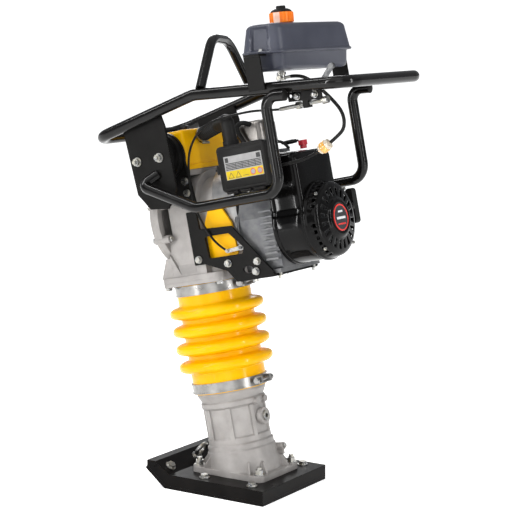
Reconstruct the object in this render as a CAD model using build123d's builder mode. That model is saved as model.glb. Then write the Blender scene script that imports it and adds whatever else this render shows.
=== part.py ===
from build123d import *
import os
from math import acos, atan2, cos, degrees, hypot, pi, radians, sin, tan

os.makedirs("parts", exist_ok=True)

# Tamping rammer (jumping jack).  +X forward over the toe, +Y the machine's left, +Z up.
# Origin: on the ground, at the centre of the flat part of the sole.  Millimetres.

# ---- driving dimensions -------------------------------------------------------------
shoe_length = 284.0
shoe_width = 285.0
shoe_height = 36.0
sole_thickness = 8.0
toe_reach = 198.0
toe_rise = 44.0
lean_angle = 12.0
foot_flange_x = 205.0
foot_flange_y = 175.0
spring_tube_radius = 62.0
running_gap = 0.06
bell_radius = 84.0
bellows_low = 203.0
bellows_high = 470.0
bellows_crest = 118.0
bellows_count = 4
case_floor = 480.0
case_half_width = 92.0
gear_centre = 655.0
engine_axis = 570.0
gear_module = 3.0
gear_teeth = 44
pinion_teeth = 12
pressure_angle = 25.0
tube_radius = 13.5
tube_wall = 2.5
hoop_radius = 12.5
rail_half = 172.0
plate_outer = 158.5
plate_thickness = 6.0
mount_u = 6.0
mount_w = 780.0

# ---- the leaning frame of everything above the shoe: u forward, y left, w up the leg --
cl = cos(radians(lean_angle))
sl = sin(radians(lean_angle))
leg = Plane(origin=(0, 0, shoe_height), x_dir=(cl, 0, -sl), z_dir=(sl, 0, cl))
leg_axis = Axis((0, 0, shoe_height), (sl, 0, cl))


def at(u, y, w):
    """A point of the leaning frame."""
    return Vector(u * cl + w * sl, y, shoe_height + w * cl - u * sl)


def direction(u, y, w):
    """A direction of the leaning frame."""
    return Vector(u * cl + w * sl, y, w * cl - u * sl)


def level(w):
    """Plane square to the leg axis; sketch axes are u and y, extrusion runs up the leg."""
    return leg.offset(w)


def side(y):
    """Plane parallel to the machine's side; sketch axes are u and w, extrusion runs to -Y."""
    return Plane(origin=at(0, y, 0), x_dir=(cl, 0, -sl), z_dir=(0, -1, 0))


def front(u):
    """Plane facing forward; sketch axes are y and w, extrusion runs forward."""
    return Plane(origin=at(u, 0, 0), x_dir=(0, 1, 0), z_dir=(cl, 0, -sl))


def disc(plane, x, y, radius, depth, mode=Mode.ADD):
    """A round bar standing on a plane."""
    with BuildSketch(plane) as outline:
        with Locations((x, y)):
            Circle(radius)
    extrude(outline.sketch, amount=depth, mode=mode)


def block(plane, x0, x1, y0, y1, depth, round_corner=0.0, mode=Mode.ADD):
    """A rectangular bar standing on a plane, with rounded corners when asked."""
    with BuildSketch(plane) as outline:
        with Locations(((x0 + x1) / 2, (y0 + y1) / 2)):
            if round_corner > 0:
                RectangleRounded(x1 - x0, y1 - y0, round_corner)
            else:
                Rectangle(x1 - x0, y1 - y0)
    extrude(outline.sketch, amount=depth, mode=mode)


def slab(plane, points, depth, round_corner=0.0, mode=Mode.ADD):
    """A flat-sided bar with any outline, standing on a plane."""
    with BuildSketch(plane) as outline:
        Polygon(*points, align=None)
        if round_corner > 0:
            fillet(outline.vertices(), radius=round_corner)
    extrude(outline.sketch, amount=depth, mode=mode)


def hex_bolt(plane, x, y, across, head, washer, shank, shank_length, sign=1):
    """Washer, hexagon head and shank; the head stands on the plane's side given by sign."""
    if washer > 0:
        disc(plane, x, y, washer, 2.0 * sign)
    lift = 2.0 * sign if washer > 0 else 0.0
    with BuildSketch(plane.offset(lift)) as flats:
        with Locations((x, y)):
            RegularPolygon(across / 2, 6, major_radius=False)
    extrude(flats.sketch, amount=head * sign)
    if shank_length > 0:
        disc(plane, x, y, shank, -shank_length * sign)


def bent_bar(points, radii, outer, inner=0.0):
    """A round bar or tube along straight runs joined by tangent arcs."""
    with BuildLine() as path:
        FilletPolyline(*points, radius=radii)
    with BuildSketch(Plane(origin=path.line @ 0, z_dir=path.line % 0)) as section:
        Circle(outer)
        if inner > 0:
            Circle(inner, mode=Mode.SUBTRACT)
    sweep(section.sketch, path=path.line)


def cord_radii(points):
    """The largest arcs that the runs of a soft tube allow."""
    radii = []
    for before, here, after in zip(points, points[1:], points[2:]):
        turn = (here - before).get_angle(after - here)
        shorter = min((here - before).length, (after - here).length)
        radii.append(0.45 * shorter / tan(radians(turn) / 2))
    return radii


def involute(base, radius):
    """Polar angle that the involute of a base circle has gained at a radius."""
    if radius <= base:
        return 0.0
    a = acos(base / radius)
    return tan(a) - a


def gear_outline(teeth, module, backlash, phase):
    """Points round a spur gear with involute flanks, one tooth centred on phase degrees."""
    pitch = teeth * module / 2
    base = pitch * cos(radians(pressure_angle))
    tip = pitch + 0.9 * module
    root = pitch - 1.15 * module
    half = pi / (2 * teeth) - backlash / (2 * pitch)
    at_pitch = involute(base, pitch)
    flank = [root] + [max(root, base) + (tip - max(root, base)) * k / 4 for k in range(5)]
    points = []
    for k in range(teeth):
        centre = radians(phase) + 2 * pi * k / teeth
        angles = [half + at_pitch - involute(base, r) for r in flank]
        for r, a in zip(flank, angles):
            points.append((r * cos(centre - a), r * sin(centre - a)))
        for r, a in zip(reversed(flank), reversed(angles)):
            points.append((r * cos(centre + a), r * sin(centre + a)))
    return points


# ---- shoe ---------------------------------------------------------------------------
toe_dx = toe_reach - shoe_length / 2
toe_length = hypot(toe_dx, toe_rise)
toe_n = (-toe_rise / toe_length, toe_dx / toe_length)
inner_toe = (toe_reach + sole_thickness * toe_n[0], toe_rise + sole_thickness * toe_n[1])
inner_bend_x = inner_toe[0] - (inner_toe[1] - sole_thickness) * toe_dx / toe_rise

# Steel sole plate, flat under the shoe and turned up at the toe.
with BuildPart() as sole_plate:
    slab(
        Plane.XZ.offset(-shoe_width / 2),
        [
            (-shoe_length / 2, 0),
            (shoe_length / 2, 0),
            (toe_reach, toe_rise),
            inner_toe,
            (inner_bend_x, sole_thickness),
            (-shoe_length / 2, sole_thickness),
        ],
        shoe_width,
    )
sole_plate.part.label = "sole_plate"
export_step(sole_plate.part, "parts/sole_plate.step")

shoe_bolt_spots = [(-93, -114), (-93, 114), (43, -114), (43, 114)]
toe_slope = atan2(28, 42)
toe_top = Plane(origin=(145, 0, 48), x_dir=(0, 1, 0), z_dir=(-sin(toe_slope), 0, cos(toe_slope)))

# Laminated board between the sole plate and the foot, with a raised toe block.
with BuildPart() as shoe_board:
    slab(
        Plane.XZ.offset(-shoe_width / 2),
        [
            (-shoe_length / 2, sole_thickness),
            (inner_bend_x, sole_thickness),
            inner_toe,
            (inner_toe[0], 64),
            (169, 64),
            (127, shoe_height),
            (-shoe_length / 2, shoe_height),
        ],
        shoe_width,
    )
    for x, y in shoe_bolt_spots:
        disc(Plane.XY.offset(shoe_height), x, y, 5.0, -24.0, mode=Mode.SUBTRACT)
    for y in (-112, 0, 112):
        disc(toe_top, y, 0, 5.0, -18.0, mode=Mode.SUBTRACT)
shoe_board.part.label = "shoe_board"
export_step(shoe_board.part, "parts/shoe_board.step")

# Bolts that hold the board and the sole together: washers under hexagon heads.
with BuildPart() as shoe_bolts:
    for x, y in shoe_bolt_spots:
        hex_bolt(Plane.XY.offset(shoe_height), x, y, 17, 7, 13, 5.0, 24)
    for y in (-112, 112):
        hex_bolt(toe_top, y, 0, 17, 7, 13, 5.0, 18)
shoe_bolts.part.label = "shoe_bolts"
export_step(shoe_bolts.part, "parts/shoe_bolts.step")

# Eye bolt on the toe block.
with BuildPart() as toe_eye_bolt:
    disc(toe_top, 0, 0, 14, 3)
    disc(toe_top, 0, 0, 5.0, -18)
    disc(toe_top.offset(3), 0, 0, 8, 8)
    with Locations(Plane(origin=toe_top.offset(25).origin, x_dir=toe_top.z_dir, z_dir=toe_top.y_dir)):
        Torus(16, 5)
toe_eye_bolt.part.label = "toe_eye_bolt"
export_step(toe_eye_bolt.part, "parts/toe_eye_bolt.step")

# ---- foot ---------------------------------------------------------------------------
stud_spots = [(-86.5, -71.5), (-86.5, 71.5), (86.5, -71.5), (86.5, 71.5)]
flange_top = shoe_height + 14.0

# Foot casting: level flange, leaning hollow leg with ribs, and the bell that takes the bellows.
with BuildPart() as foot_casting:
    with BuildSketch(side(0)):
        with BuildLine():
            Polyline(
                (0, -30),
                (91, -30),
                (88, 18),
                (84, 56),
                (81, 60),
                (81, 71),
                (77, 75),
                (77, 87),
                (73, 91),
                (73, 160),
                (79, 166),
                (79, 176),
                (76, 180),
                (bell_radius, 196),
                (bell_radius, 229),
                (spring_tube_radius, 229),
                (spring_tube_radius, 34),
                (0, 34),
                close=True,
            )
        make_face()
    revolve(axis=leg_axis, revolution_arc=360)
    for k in range(8):
        a = 22.5 + 45 * k
        with BuildSketch(level(80)):
            with PolarLocations(72.5, 1, start_angle=a):
                Rectangle(9, 11)
        extrude(amount=82)
    split(bisect_by=Plane.XY.offset(shoe_height), keep=Keep.TOP)
    with BuildSketch(Plane.XY.offset(shoe_height)):
        RectangleRounded(foot_flange_x, foot_flange_y, 18)
    extrude(amount=14)
    for corner in (39.6, 140.4, 219.6, 320.4):
        for a in (corner - 12, corner + 12):
            x_dir = (cos(radians(a)), sin(radians(a)), 0)
            z_dir = (sin(radians(a)), -cos(radians(a)), 0)
            with BuildSketch(Plane(origin=(0, 0, flange_top), x_dir=x_dir, z_dir=z_dir)):
                Polygon((78, -2), (106, -2), (106, 3), (90, 26), (78, 26), align=None)
            extrude(amount=2.5, both=True)
    for x, y in stud_spots:
        disc(Plane.XY.offset(flange_top), x, y, 15, 30, mode=Mode.SUBTRACT)
        disc(Plane.XY.offset(flange_top), x, y, 15, 2)
        disc(Plane.XY.offset(shoe_height), x, y, 6.0, 18, mode=Mode.SUBTRACT)
    disc(front(-95), -42, 44, 9, 26)
    block(front(-92), -45, -39, 24, 40, 20)
    disc(level(34), 0, 0, spring_tube_radius, 210, mode=Mode.SUBTRACT)
    disc(front(-66), 0, 128, 20, -20)
    disc(front(-66), 0, 128, 12, -22, mode=Mode.SUBTRACT)
    for y in (-17, 17):
        disc(front(-66), y, 168, 8, -18)
foot_casting.part.label = "foot_casting"
export_step(foot_casting.part, "parts/foot_casting.step")

# Studs, washers and nuts on the flange, and the socket-head oil level plug.
with BuildPart() as foot_fasteners:
    for x, y in stud_spots:
        hex_bolt(Plane.XY.offset(flange_top + 2), x, y, 18, 10, 13, 6.0, 16)
        disc(Plane.XY.offset(flange_top + 14), x, y, 6.0, 7)
    hex_bolt(front(-95), -42, 44, 10, 5, 0, 0, 0, sign=-1)
    disc(front(-66), 0, 128, 12, -24)
    with BuildSketch(front(-90)):
        with Locations((0, 128)):
            RegularPolygon(5, 6, major_radius=False)
    extrude(amount=8, mode=Mode.SUBTRACT)
foot_fasteners.part.label = "foot_fasteners"
export_step(foot_fasteners.part, "parts/foot_fasteners.step")

# Steel spring tube pressed into the foot; it slides in the guide of the upper housing.
with BuildPart() as spring_cylinder:
    disc(level(34), 0, 0, spring_tube_radius, 406)
    disc(level(34), 0, 0, 56, 396, mode=Mode.SUBTRACT)
    disc(level(420), 0, 0, 16.5, 30, mode=Mode.SUBTRACT)
spring_cylinder.part.label = "spring_cylinder"
export_step(spring_cylinder.part, "parts/spring_cylinder.step")

# Lower and upper leg springs, each as the sleeve its coils fill.
with BuildPart() as leg_springs:
    for low, high in ((34, 206), (258, 430)):
        disc(level(low), 0, 0, 50, high - low)
        disc(level(low), 0, 0, 37, high - low, mode=Mode.SUBTRACT)
leg_springs.part.label = "leg_springs"
export_step(leg_springs.part, "parts/leg_springs.step")

pitch = 44.0
first_crest = (bellows_low + bellows_high) / 2 - 1.5 * pitch
outer_line = [(90, bellows_low), (90, 236)]
for k in range(bellows_count):
    outer_line.append((bellows_crest, first_crest + k * pitch - 9))
    outer_line.append((bellows_crest, first_crest + k * pitch + 9))
    if k < bellows_count - 1:
        outer_line.append((90, first_crest + (k + 0.5) * pitch - 4))
        outer_line.append((90, first_crest + (k + 0.5) * pitch + 4))
outer_line += [(90, 437), (90, bellows_high)]

# Yellow bellows: plain collars at both ends and four rounded convolutions.
with BuildPart() as bellows:
    with BuildSketch(side(0)):
        with BuildLine():
            outside = FilletPolyline(*outer_line, radius=5)
            inside = FilletPolyline(*[(r - 5.7, w) for r, w in outer_line], radius=5)
            Line(outside @ 0, inside @ 0)
            Line(outside @ 1, inside @ 1)
        make_face()
    revolve(axis=leg_axis, revolution_arc=360)
bellows.part.label = "bellows"
export_step(bellows.part, "parts/bellows.step")


def band_clamp(low, inner):
    """Rolled steel band with raised edges, two lugs behind and a cross bolt."""
    disc(level(low), 0, 0, inner + 2.0, 24)
    for rim in (low, low + 21.5):
        disc(level(rim), 0, 0, inner + 3.6, 2.5)
    disc(level(low), 0, 0, inner, 24, mode=Mode.SUBTRACT)
    for y in (-22, 14):
        block(level(low + 3), -inner - 18, -inner + 1, y, y + 8, 18)
    disc(level(low - 1), 0, 0, inner, 26, mode=Mode.SUBTRACT)
    disc(side(30), -inner - 11, low + 12, 3.5, 62)
    for y in (36, -24):
        with BuildSketch(side(y)) as flats:
            with Locations((-inner - 11, low + 12)):
                RegularPolygon(6.5, 6, major_radius=False)
        extrude(flats.sketch, amount=8)


with BuildPart() as lower_clamp:
    band_clamp(205, 90.0)
lower_clamp.part.label = "lower_clamp"
export_step(lower_clamp.part, "parts/lower_clamp.step")

with BuildPart() as upper_clamp:
    band_clamp(444, 90.3)
upper_clamp.part.label = "upper_clamp"
export_step(upper_clamp.part, "parts/upper_clamp.step")

# ---- upper housing ------------------------------------------------------------------
# Guide cylinder: square flange under the crankcase, bellows spigot and long sleeve.
with BuildPart() as guide_cylinder:
    block(level(470), -94, 84, -95, 95, 10, 20)
    disc(level(441), 0, 0, bell_radius - 0.3, 30)
    disc(level(262), 0, 0, 72, 200)
    disc(level(260), 0, 0, spring_tube_radius + running_gap, 230, mode=Mode.SUBTRACT)
    for u in (-81, 71):
        for y in (-82, 82):
            disc(level(460), u, y, 5.0, 30, mode=Mode.SUBTRACT)
guide_cylinder.part.label = "guide_cylinder"
export_step(guide_cylinder.part, "parts/guide_cylinder.step")

cover_angles = [22.5 + 45 * k for k in range(8)]
cover_centre = 628.0

# Crankcase: base flange, box-shaped gear housing with a round front flange and bolt bosses.
with BuildPart() as crankcase:
    block(level(case_floor), -94, 84, -95, 95, 13, 20)
    block(front(-56), -case_half_width, case_half_width, case_floor + 2, gear_centre - 12, 101)
    disc(front(-56), 0, gear_centre - 12, case_half_width, 101)
    block(front(-94), -74, 74, case_floor + 2, gear_centre - 12, 40)
    disc(front(-94), 0, gear_centre - 12, 74, 40)
    block(level(728), -48, 2, -78, 78, 14)
    for s in (1, -1):
        flank = [(s * 85, 520), (s * 92.5, 496), (s * 130, 496), (s * 130, 720), (s * 85, 720)]
        slab(front(-28), flank, 80, mode=Mode.SUBTRACT)
        slab(side(s * 88 + 4), [(44, 548), (44, 490), (16, 490)], 8)
    disc(front(44), 0, cover_centre, 114, 13)
    for a in cover_angles:
        y = 106 * cos(radians(a))
        w = cover_centre + 106 * sin(radians(a))
        disc(front(28), y, w, 10, 29)
    for y in (-90, 78):
        slab(side(y + 12), [(44, 493), (80, 493), (58, 540), (44, 540)], 12)
    disc(front(-52), 0, gear_centre - 12, 82, 89, mode=Mode.SUBTRACT)
    block(front(-52), -80, 80, 493, gear_centre - 12, 89, mode=Mode.SUBTRACT)
    disc(front(-84), 0, gear_centre - 12, 64, 40, mode=Mode.SUBTRACT)
    block(front(-84), -64, 64, 493, gear_centre - 12, 40, mode=Mode.SUBTRACT)
    disc(front(30), 0, cover_centre, 96, 30, mode=Mode.SUBTRACT)
    disc(level(470), 0, 0, 40, 40, mode=Mode.SUBTRACT)
    disc(front(-100), 0, gear_centre, 20 + running_gap, 30, mode=Mode.SUBTRACT)
    disc(front(-100), 0, engine_axis, 12 + running_gap, 30, mode=Mode.SUBTRACT)
    for a in cover_angles:
        y = 106 * cos(radians(a))
        w = cover_centre + 106 * sin(radians(a))
        disc(front(20), y, w, 4.0, 60, mode=Mode.SUBTRACT)
        disc(front(20), y, w, 8.5, 8, mode=Mode.SUBTRACT)
    for u in (-81, 71):
        for y in (-82, 82):
            disc(level(470), u, y, 5.0, 14, mode=Mode.SUBTRACT)
crankcase.part.label = "crankcase"
export_step(crankcase.part, "parts/crankcase.step")

# Front gear cover: stepped dome with bosses round the rim.
with BuildPart() as gear_cover:
    with BuildSketch(side(0)):
        with BuildLine():
            Polyline(
                (57, cover_centre),
                (57, cover_centre + 114),
                (67, cover_centre + 114),
                (69, cover_centre + 100),
                (82, cover_centre + 92),
                (86, cover_centre + 58),
                (90, cover_centre + 40),
                (90, cover_centre),
                close=True,
            )
        make_face()
    revolve(axis=Axis(at(57, 0, cover_centre), (cl, 0, -sl)), revolution_arc=360)
    for a in cover_angles:
        y = 106 * cos(radians(a))
        w = cover_centre + 106 * sin(radians(a))
        disc(front(57), y, w, 10, 14)
        disc(front(50), y, w, 4.0, 30, mode=Mode.SUBTRACT)
    for a in (0, 60, 120, 180, 240, 300):
        with BuildSketch(front(80)):
            with Locations(Location((0, cover_centre, 0), (0, 0, a))):
                with Locations((64, 0)):
                    Rectangle(44, 6)
        extrude(amount=7)
gear_cover.part.label = "gear_cover"
export_step(gear_cover.part, "parts/gear_cover.step")

# Housing fasteners: through bolts of the front cover and flange bolts under the case.
with BuildPart() as housing_bolts:
    for a in cover_angles:
        y = 106 * cos(radians(a))
        w = cover_centre + 106 * sin(radians(a))
        hex_bolt(front(71), y, w, 12, 6, 0, 4.0, 43)
        hex_bolt(front(28), y, w, 12, 6, 0, 4.0, 0, sign=-1)
    for u in (-81, 71):
        for y in (-82, 82):
            hex_bolt(level(470), u, y, 15, 7, 0, 5.0, 13.8, sign=-1)
    for y, sign in ((100, -1), (-100, 1)):
        for w in (688, 716):
            hex_bolt(side(y), -46, w, 13, 6, 9, 5.0, 7.8, sign=sign)
    for y, sign in ((98, -1), (-98, 1)):
        hex_bolt(side(y), -44, 527, 13, 6, 9, 5.0, 5.8, sign=sign)
housing_bolts.part.label = "housing_bolts"
export_step(housing_bolts.part, "parts/housing_bolts.step")

# Black yoke on the crankcase: a cheek on each side with a round seat for the shock mount.
with BuildPart() as mount_brackets:
    for y in (100, -92):
        slab(side(y), [(-64, 652), (-24, 652), (40, 706), (62, 780), (-50, 780)], 8, 6)
        disc(side(y), mount_u, mount_w, 60, 8)
    block(side(92), 6, 43, 738, 770, 184)
    for y in (110, -80):
        for w in (688, 716):
            disc(side(y), -46, w, 5.0, 30, mode=Mode.SUBTRACT)
mount_brackets.part.label = "mount_brackets"
export_step(mount_brackets.part, "parts/mount_brackets.step")

# Round rubber shock mounts between the yoke and the handle plates.
with BuildPart() as shock_mounts:
    for s in (1, -1):
        disc(side(100 * s), mount_u, mount_w, 58, -14 * s)
        disc(side(114 * s), mount_u, mount_w, 50, -20 * s)
        disc(side(134 * s), mount_u, mount_w, 56, -12.2 * s)
shock_mounts.part.label = "shock_mounts"
export_step(shock_mounts.part, "parts/shock_mounts.step")

# ---- drive inside the housing -------------------------------------------------------
gear_face = -48.0
gear_width = 22.0
crank_throw = 30.0

# Crank gear on its shaft, running in the rear wall of the crankcase.
with BuildPart() as crank_gear:
    with BuildSketch(front(gear_face)):
        with Locations((0, gear_centre)):
            Polygon(*gear_outline(gear_teeth, gear_module, 0.35, -90.0), align=None)
    extrude(amount=gear_width)
    disc(front(gear_face + 12), 0, gear_centre, 54, 12, mode=Mode.SUBTRACT)
    disc(front(gear_face + 12), 0, gear_centre, 26, 8)
    disc(front(gear_face - 46), 0, gear_centre, 20, 46)
crank_gear.part.label = "crank_gear"
export_step(crank_gear.part, "parts/crank_gear.step")

# Clutch drum and pinion on one shaft through the rear wall.
with BuildPart() as clutch_drum:
    with BuildSketch(front(gear_face)):
        with Locations((0, engine_axis)):
            pinion_phase = 90.0 + 180.0 / pinion_teeth
            Polygon(*gear_outline(pinion_teeth, gear_module, 0.35, pinion_phase), align=None)
    extrude(amount=gear_width)
    disc(front(-112), 0, engine_axis, 12, 64)
    disc(front(-150), 0, engine_axis, 42, 38)
    disc(front(-152), 0, engine_axis, 37, 34, mode=Mode.SUBTRACT)
clutch_drum.part.label = "clutch_drum"
export_step(clutch_drum.part, "parts/clutch_drum.step")

# Piston, rod, connecting rod and crank pin that drive the springs.
with BuildPart() as drive_piston:
    disc(level(222), 0, 0, 55.4, 20)
    disc(level(242), 0, 0, 16, 330)
    pin_w = gear_centre - crank_throw
    block(front(-10), -15, 15, 560, pin_w, 20)
    disc(front(-12), 0, pin_w, 24, 24)
    disc(front(-24), 0, pin_w, 13, 40)
drive_piston.part.label = "drive_piston"
export_step(drive_piston.part, "parts/drive_piston.step")

# Engine crankshaft with the clutch hub in front and the bladed flywheel behind.
with BuildPart() as crankshaft:
    disc(front(-338), 0, engine_axis, 10, 210)
    disc(front(-146), 0, engine_axis, 34, 24)
    disc(front(-300), 0, engine_axis, 76, 18)
    for k in range(16):
        with BuildSketch(front(-318)):
            with Locations((0, engine_axis)):
                with PolarLocations(60, 1, start_angle=22.5 * k):
                    Rectangle(28, 3)
        extrude(amount=20)
crankshaft.part.label = "crankshaft"
export_step(crankshaft.part, "parts/crankshaft.step")

# ---- clutch housing and engine ------------------------------------------------------
# Bright clutch bell between the crankcase and the engine.
with BuildPart() as clutch_housing:
    for w, r in ((engine_axis, 75), (664, 70)):
        disc(front(-94), 0, w, r, -62)
    block(front(-94), -72, 72, engine_axis, 664, -62)
    disc(front(-90), 0, engine_axis, 50, -70, mode=Mode.SUBTRACT)
    disc(front(-90), 0, gear_centre, 30, -14, mode=Mode.SUBTRACT)
    disc(front(-150), 0, engine_axis, 84, -6)
    disc(front(-140), 0, engine_axis, 50, -20, mode=Mode.SUBTRACT)
clutch_housing.part.label = "clutch_housing"
export_step(clutch_housing.part, "parts/clutch_housing.step")

# Yellow guard plate on the clutch bell, cut to an octagon.
with BuildPart() as clutch_guard:
    slab(
        side(81),
        [(-66, 520), (-84, 500), (-128, 500), (-146, 530), (-142, 600), (-118, 644), (-84, 644), (-66, 610)],
        6,
        3,
    )
clutch_guard.part.label = "clutch_guard"
export_step(clutch_guard.part, "parts/clutch_guard.step")

# Yellow intake housing on top of the crankcase, between the yoke cheeks.
with BuildPart() as intake_housing:
    intake_outline = [(2, 742), (-50, 742), (-50, 838), (28, 838), (54, 818), (54, 771), (2, 771)]
    slab(side(85), intake_outline, 170, 6)
    socket = Plane(origin=at(-59, 18, 820), z_dir=direction(-147, 100, 14))
    disc(socket, 0, 0, 20, -24)
intake_housing.part.label = "intake_housing"
export_step(intake_housing.part, "parts/intake_housing.step")

# Engine crankcase with ribbed flanks and four feet.
with BuildPart() as engine_block:
    slab(
        front(-262),
        [(-78, 478), (78, 478), (79, 510), (76, 600), (60, 664), (-60, 664), (-76, 600), (-79, 510)],
        100,
        6,
    )
    disc(front(-156), 0, engine_axis, 84, -6)
    disc(side(95), -163, 540, 4, 30)
    for k in range(9):
        block(front(-262), -91, 91, 500 + 14 * k, 505 + 14 * k, 34)
    block(level(468), -260, -168, -86, 86, 10)
    disc(front(-270), 0, engine_axis, 10 + running_gap, 130, mode=Mode.SUBTRACT)
    disc(front(-264), 0, engine_axis, 24, 6, mode=Mode.SUBTRACT)
    for u in (-250, -178):
        for y in (-74, 74):
            disc(level(466), u, y, 4.0, 12, mode=Mode.SUBTRACT)
engine_block.part.label = "engine_block"
export_step(engine_block.part, "parts/engine_block.step")

# Finned cylinder and head.
with BuildPart() as engine_head:
    block(level(664), -244, -178, -52, 36, 84)
    for k in range(8):
        block(level(670 + 9 * k), -256, -166, -64, 48, 3, 8)
    block(level(744), -252, -170, -60, 44, 8, 8)
engine_head.part.label = "engine_head"
export_step(engine_head.part, "parts/engine_head.step")

# Glossy fan shroud: round below, square-shouldered above.
with BuildPart() as fan_shroud:
    with BuildSketch(front(-262)):
        with Locations((0, engine_axis)):
            Circle(94)
        with Locations((0, 656)):
            RectangleRounded(172, 172, 16)
    extrude(amount=-84)
    with BuildSketch(front(-262)):
        with Locations((0, engine_axis)):
            Circle(84)
        with Locations((0, 652)):
            Rectangle(160, 164)
    extrude(amount=-79, mode=Mode.SUBTRACT)
    disc(front(-330), 0, engine_axis, 80, -20, mode=Mode.SUBTRACT)
fan_shroud.part.label = "fan_shroud"
export_step(fan_shroud.part, "parts/fan_shroud.step")

# Recoil starter cover: stepped dome with radial slots, side louvres and a round hub.
with BuildPart() as recoil_cover:
    with BuildSketch(side(0)):
        with BuildLine():
            Polyline(
                (-346, engine_axis + 84),
                (-346, engine_axis + 94),
                (-352, engine_axis + 94),
                (-376, engine_axis + 84),
                (-384, engine_axis + 70),
                (-386, engine_axis + 44),
                (-392, engine_axis + 40),
                (-392, engine_axis),
                (-382, engine_axis),
                (-380, engine_axis + 62),
                (-370, engine_axis + 78),
                close=True,
            )
        make_face()
    revolve(axis=Axis(at(-346, 0, engine_axis), (cl, 0, -sl)), revolution_arc=360)
    for a in (45, 135, 225, 315):
        y = 90.2 * cos(radians(a))
        w = engine_axis + 90.2 * sin(radians(a))
        disc(front(-348), y, w, 7, -24)
    for k in range(20):
        with BuildSketch(front(-360)):
            with Locations((0, engine_axis)):
                with PolarLocations(59, 1, start_angle=18 * k + 9):
                    SlotOverall(20, 6)
        extrude(amount=-40, mode=Mode.SUBTRACT)
    disc(front(-384), 0, engine_axis, 9, 16)
    disc(side(-68), -360, engine_axis + 20, 9, 36, mode=Mode.SUBTRACT)
recoil_cover.part.label = "recoil_cover"
export_step(recoil_cover.part, "parts/recoil_cover.step")

# Rope pulley on the post inside the recoil cover.
with BuildPart() as recoil_pulley:
    disc(front(-378), 0, engine_axis, 46, 24)
    disc(front(-371), 0, engine_axis, 60, 10)
    disc(front(-368), 0, engine_axis, 38, 4, mode=Mode.SUBTRACT)
    disc(front(-390), 0, engine_axis, 9 + running_gap, 50, mode=Mode.SUBTRACT)
recoil_pulley.part.label = "recoil_pulley"
export_step(recoil_pulley.part, "parts/recoil_pulley.step")

# Starter rope between the pulley rim and the grip.
with BuildPart() as starter_rope:
    disc(side(-61.5), -360, engine_axis + 20, 2.5, 36)
starter_rope.part.label = "starter_rope"
export_step(starter_rope.part, "parts/starter_rope.step")

# Starter grip on the far side of the recoil cover.
with BuildPart() as recoil_grip:
    disc(side(-97.5), -360, engine_axis + 20, 11, 8)
    block(side(-105.5), -369, -351, engine_axis - 22, engine_axis + 62, 20, 8)
recoil_grip.part.label = "recoil_grip"
export_step(recoil_grip.part, "parts/recoil_grip.step")

# Engine fasteners: shroud and recoil screws, foot bolts and the carrier's side bolts.
shroud_spots = [(-66, 500), (66, 500), (-66, 640), (66, 640)]
with BuildPart() as engine_bolts:
    for u in (-250, -178):
        for y in (-74, 74):
            hex_bolt(level(462), u, y, 13, 7, 0, 4.0, 14, sign=-1)
    for a in (45, 135, 225, 315):
        y = 90.2 * cos(radians(a))
        w = engine_axis + 90.2 * sin(radians(a))
        hex_bolt(front(-372), y, w, 7, 5, 0, 0, 0, sign=-1)
    for y, sign in ((98, -1), (-98, 1)):
        for u, w in ((-208, 503), (-126, 508), (-200, 480)):
            hex_bolt(side(y), u, w, 13, 7, 9, 4.0, 6.8, sign=sign)
engine_bolts.part.label = "engine_bolts"
export_step(engine_bolts.part, "parts/engine_bolts.step")

carrier_outline = [
    (-29, 642),
    (-58, 642),
    (-60, 598),
    (-150, 594),
    (-246, 474),
    (-246, 462),
    (-142, 462),
    (-120, 490),
    (-60, 514),
    (-29, 514),
]

# Black engine carrier: a windowed plate on each side joined by the shelf under the engine.
with BuildPart() as engine_bracket:
    for y in (98, -92):
        slab(side(y), carrier_outline, 6, 3)
    block(level(462), -246, -142, -95, 95, 6)
    for y in (102, -88):
        slab(side(y), [(-70, 578), (-140, 578), (-176, 540), (-170, 526), (-74, 526)], 14, 5, mode=Mode.SUBTRACT)
        with BuildSketch(side(y)) as eye:
            with Locations((-178, 487)):
                Ellipse(14, 9)
        extrude(eye.sketch, amount=14, mode=Mode.SUBTRACT)
        for u, w, r in ((-208, 503, 4), (-126, 508, 4), (-200, 480, 4), (-44, 527, 5)):
            disc(side(y), u, w, r, 14, mode=Mode.SUBTRACT)
    for u in (-250, -178):
        for y in (-74, 74):
            disc(level(460), u, y, 4.0, 12, mode=Mode.SUBTRACT)
engine_bracket.part.label = "engine_bracket"
export_step(engine_bracket.part, "parts/engine_bracket.step")

# Air cleaner body with the hose socket on top.
with BuildPart() as air_cleaner_box:
    block(side(140), -314, -183, 672, 776, 44, 10)
    disc(level(774), -206, 118, 19, 14)
    block(side(139.9), -262, -234, 665, 673, 8)
    block(side(152), -262, -234, 666, 670, 14)
    disc(front(-262), 152, 669, 3, 28)
air_cleaner_box.part.label = "air_cleaner_box"
export_step(air_cleaner_box.part, "parts/air_cleaner_box.step")

# Air cleaner lid, hinged along its lower edge, with a shallow recessed label field.
with BuildPart() as cleaner_cover:
    block(side(152), -315, -182, 671, 777, 11.7, 10)
    block(side(153), -300, -196, 690, 760, 2, 4, mode=Mode.SUBTRACT)
    for u in (-300, -226):
        disc(front(u), 152, 669, 3, 30)
    block(side(153), -265, -231, 670, 672.6, 6, mode=Mode.SUBTRACT)
cleaner_cover.part.label = "cleaner_cover"
export_step(cleaner_cover.part, "parts/cleaner_cover.step")

# Latch clip on the lid's front edge.
with BuildPart() as cleaner_latch:
    block(side(150), -181.6, -176, 714, 736, 26, 2)
    block(side(150), -181.6, -172, 722, 728, 6)
cleaner_latch.part.label = "cleaner_latch"
export_step(cleaner_latch.part, "parts/cleaner_latch.step")

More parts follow.
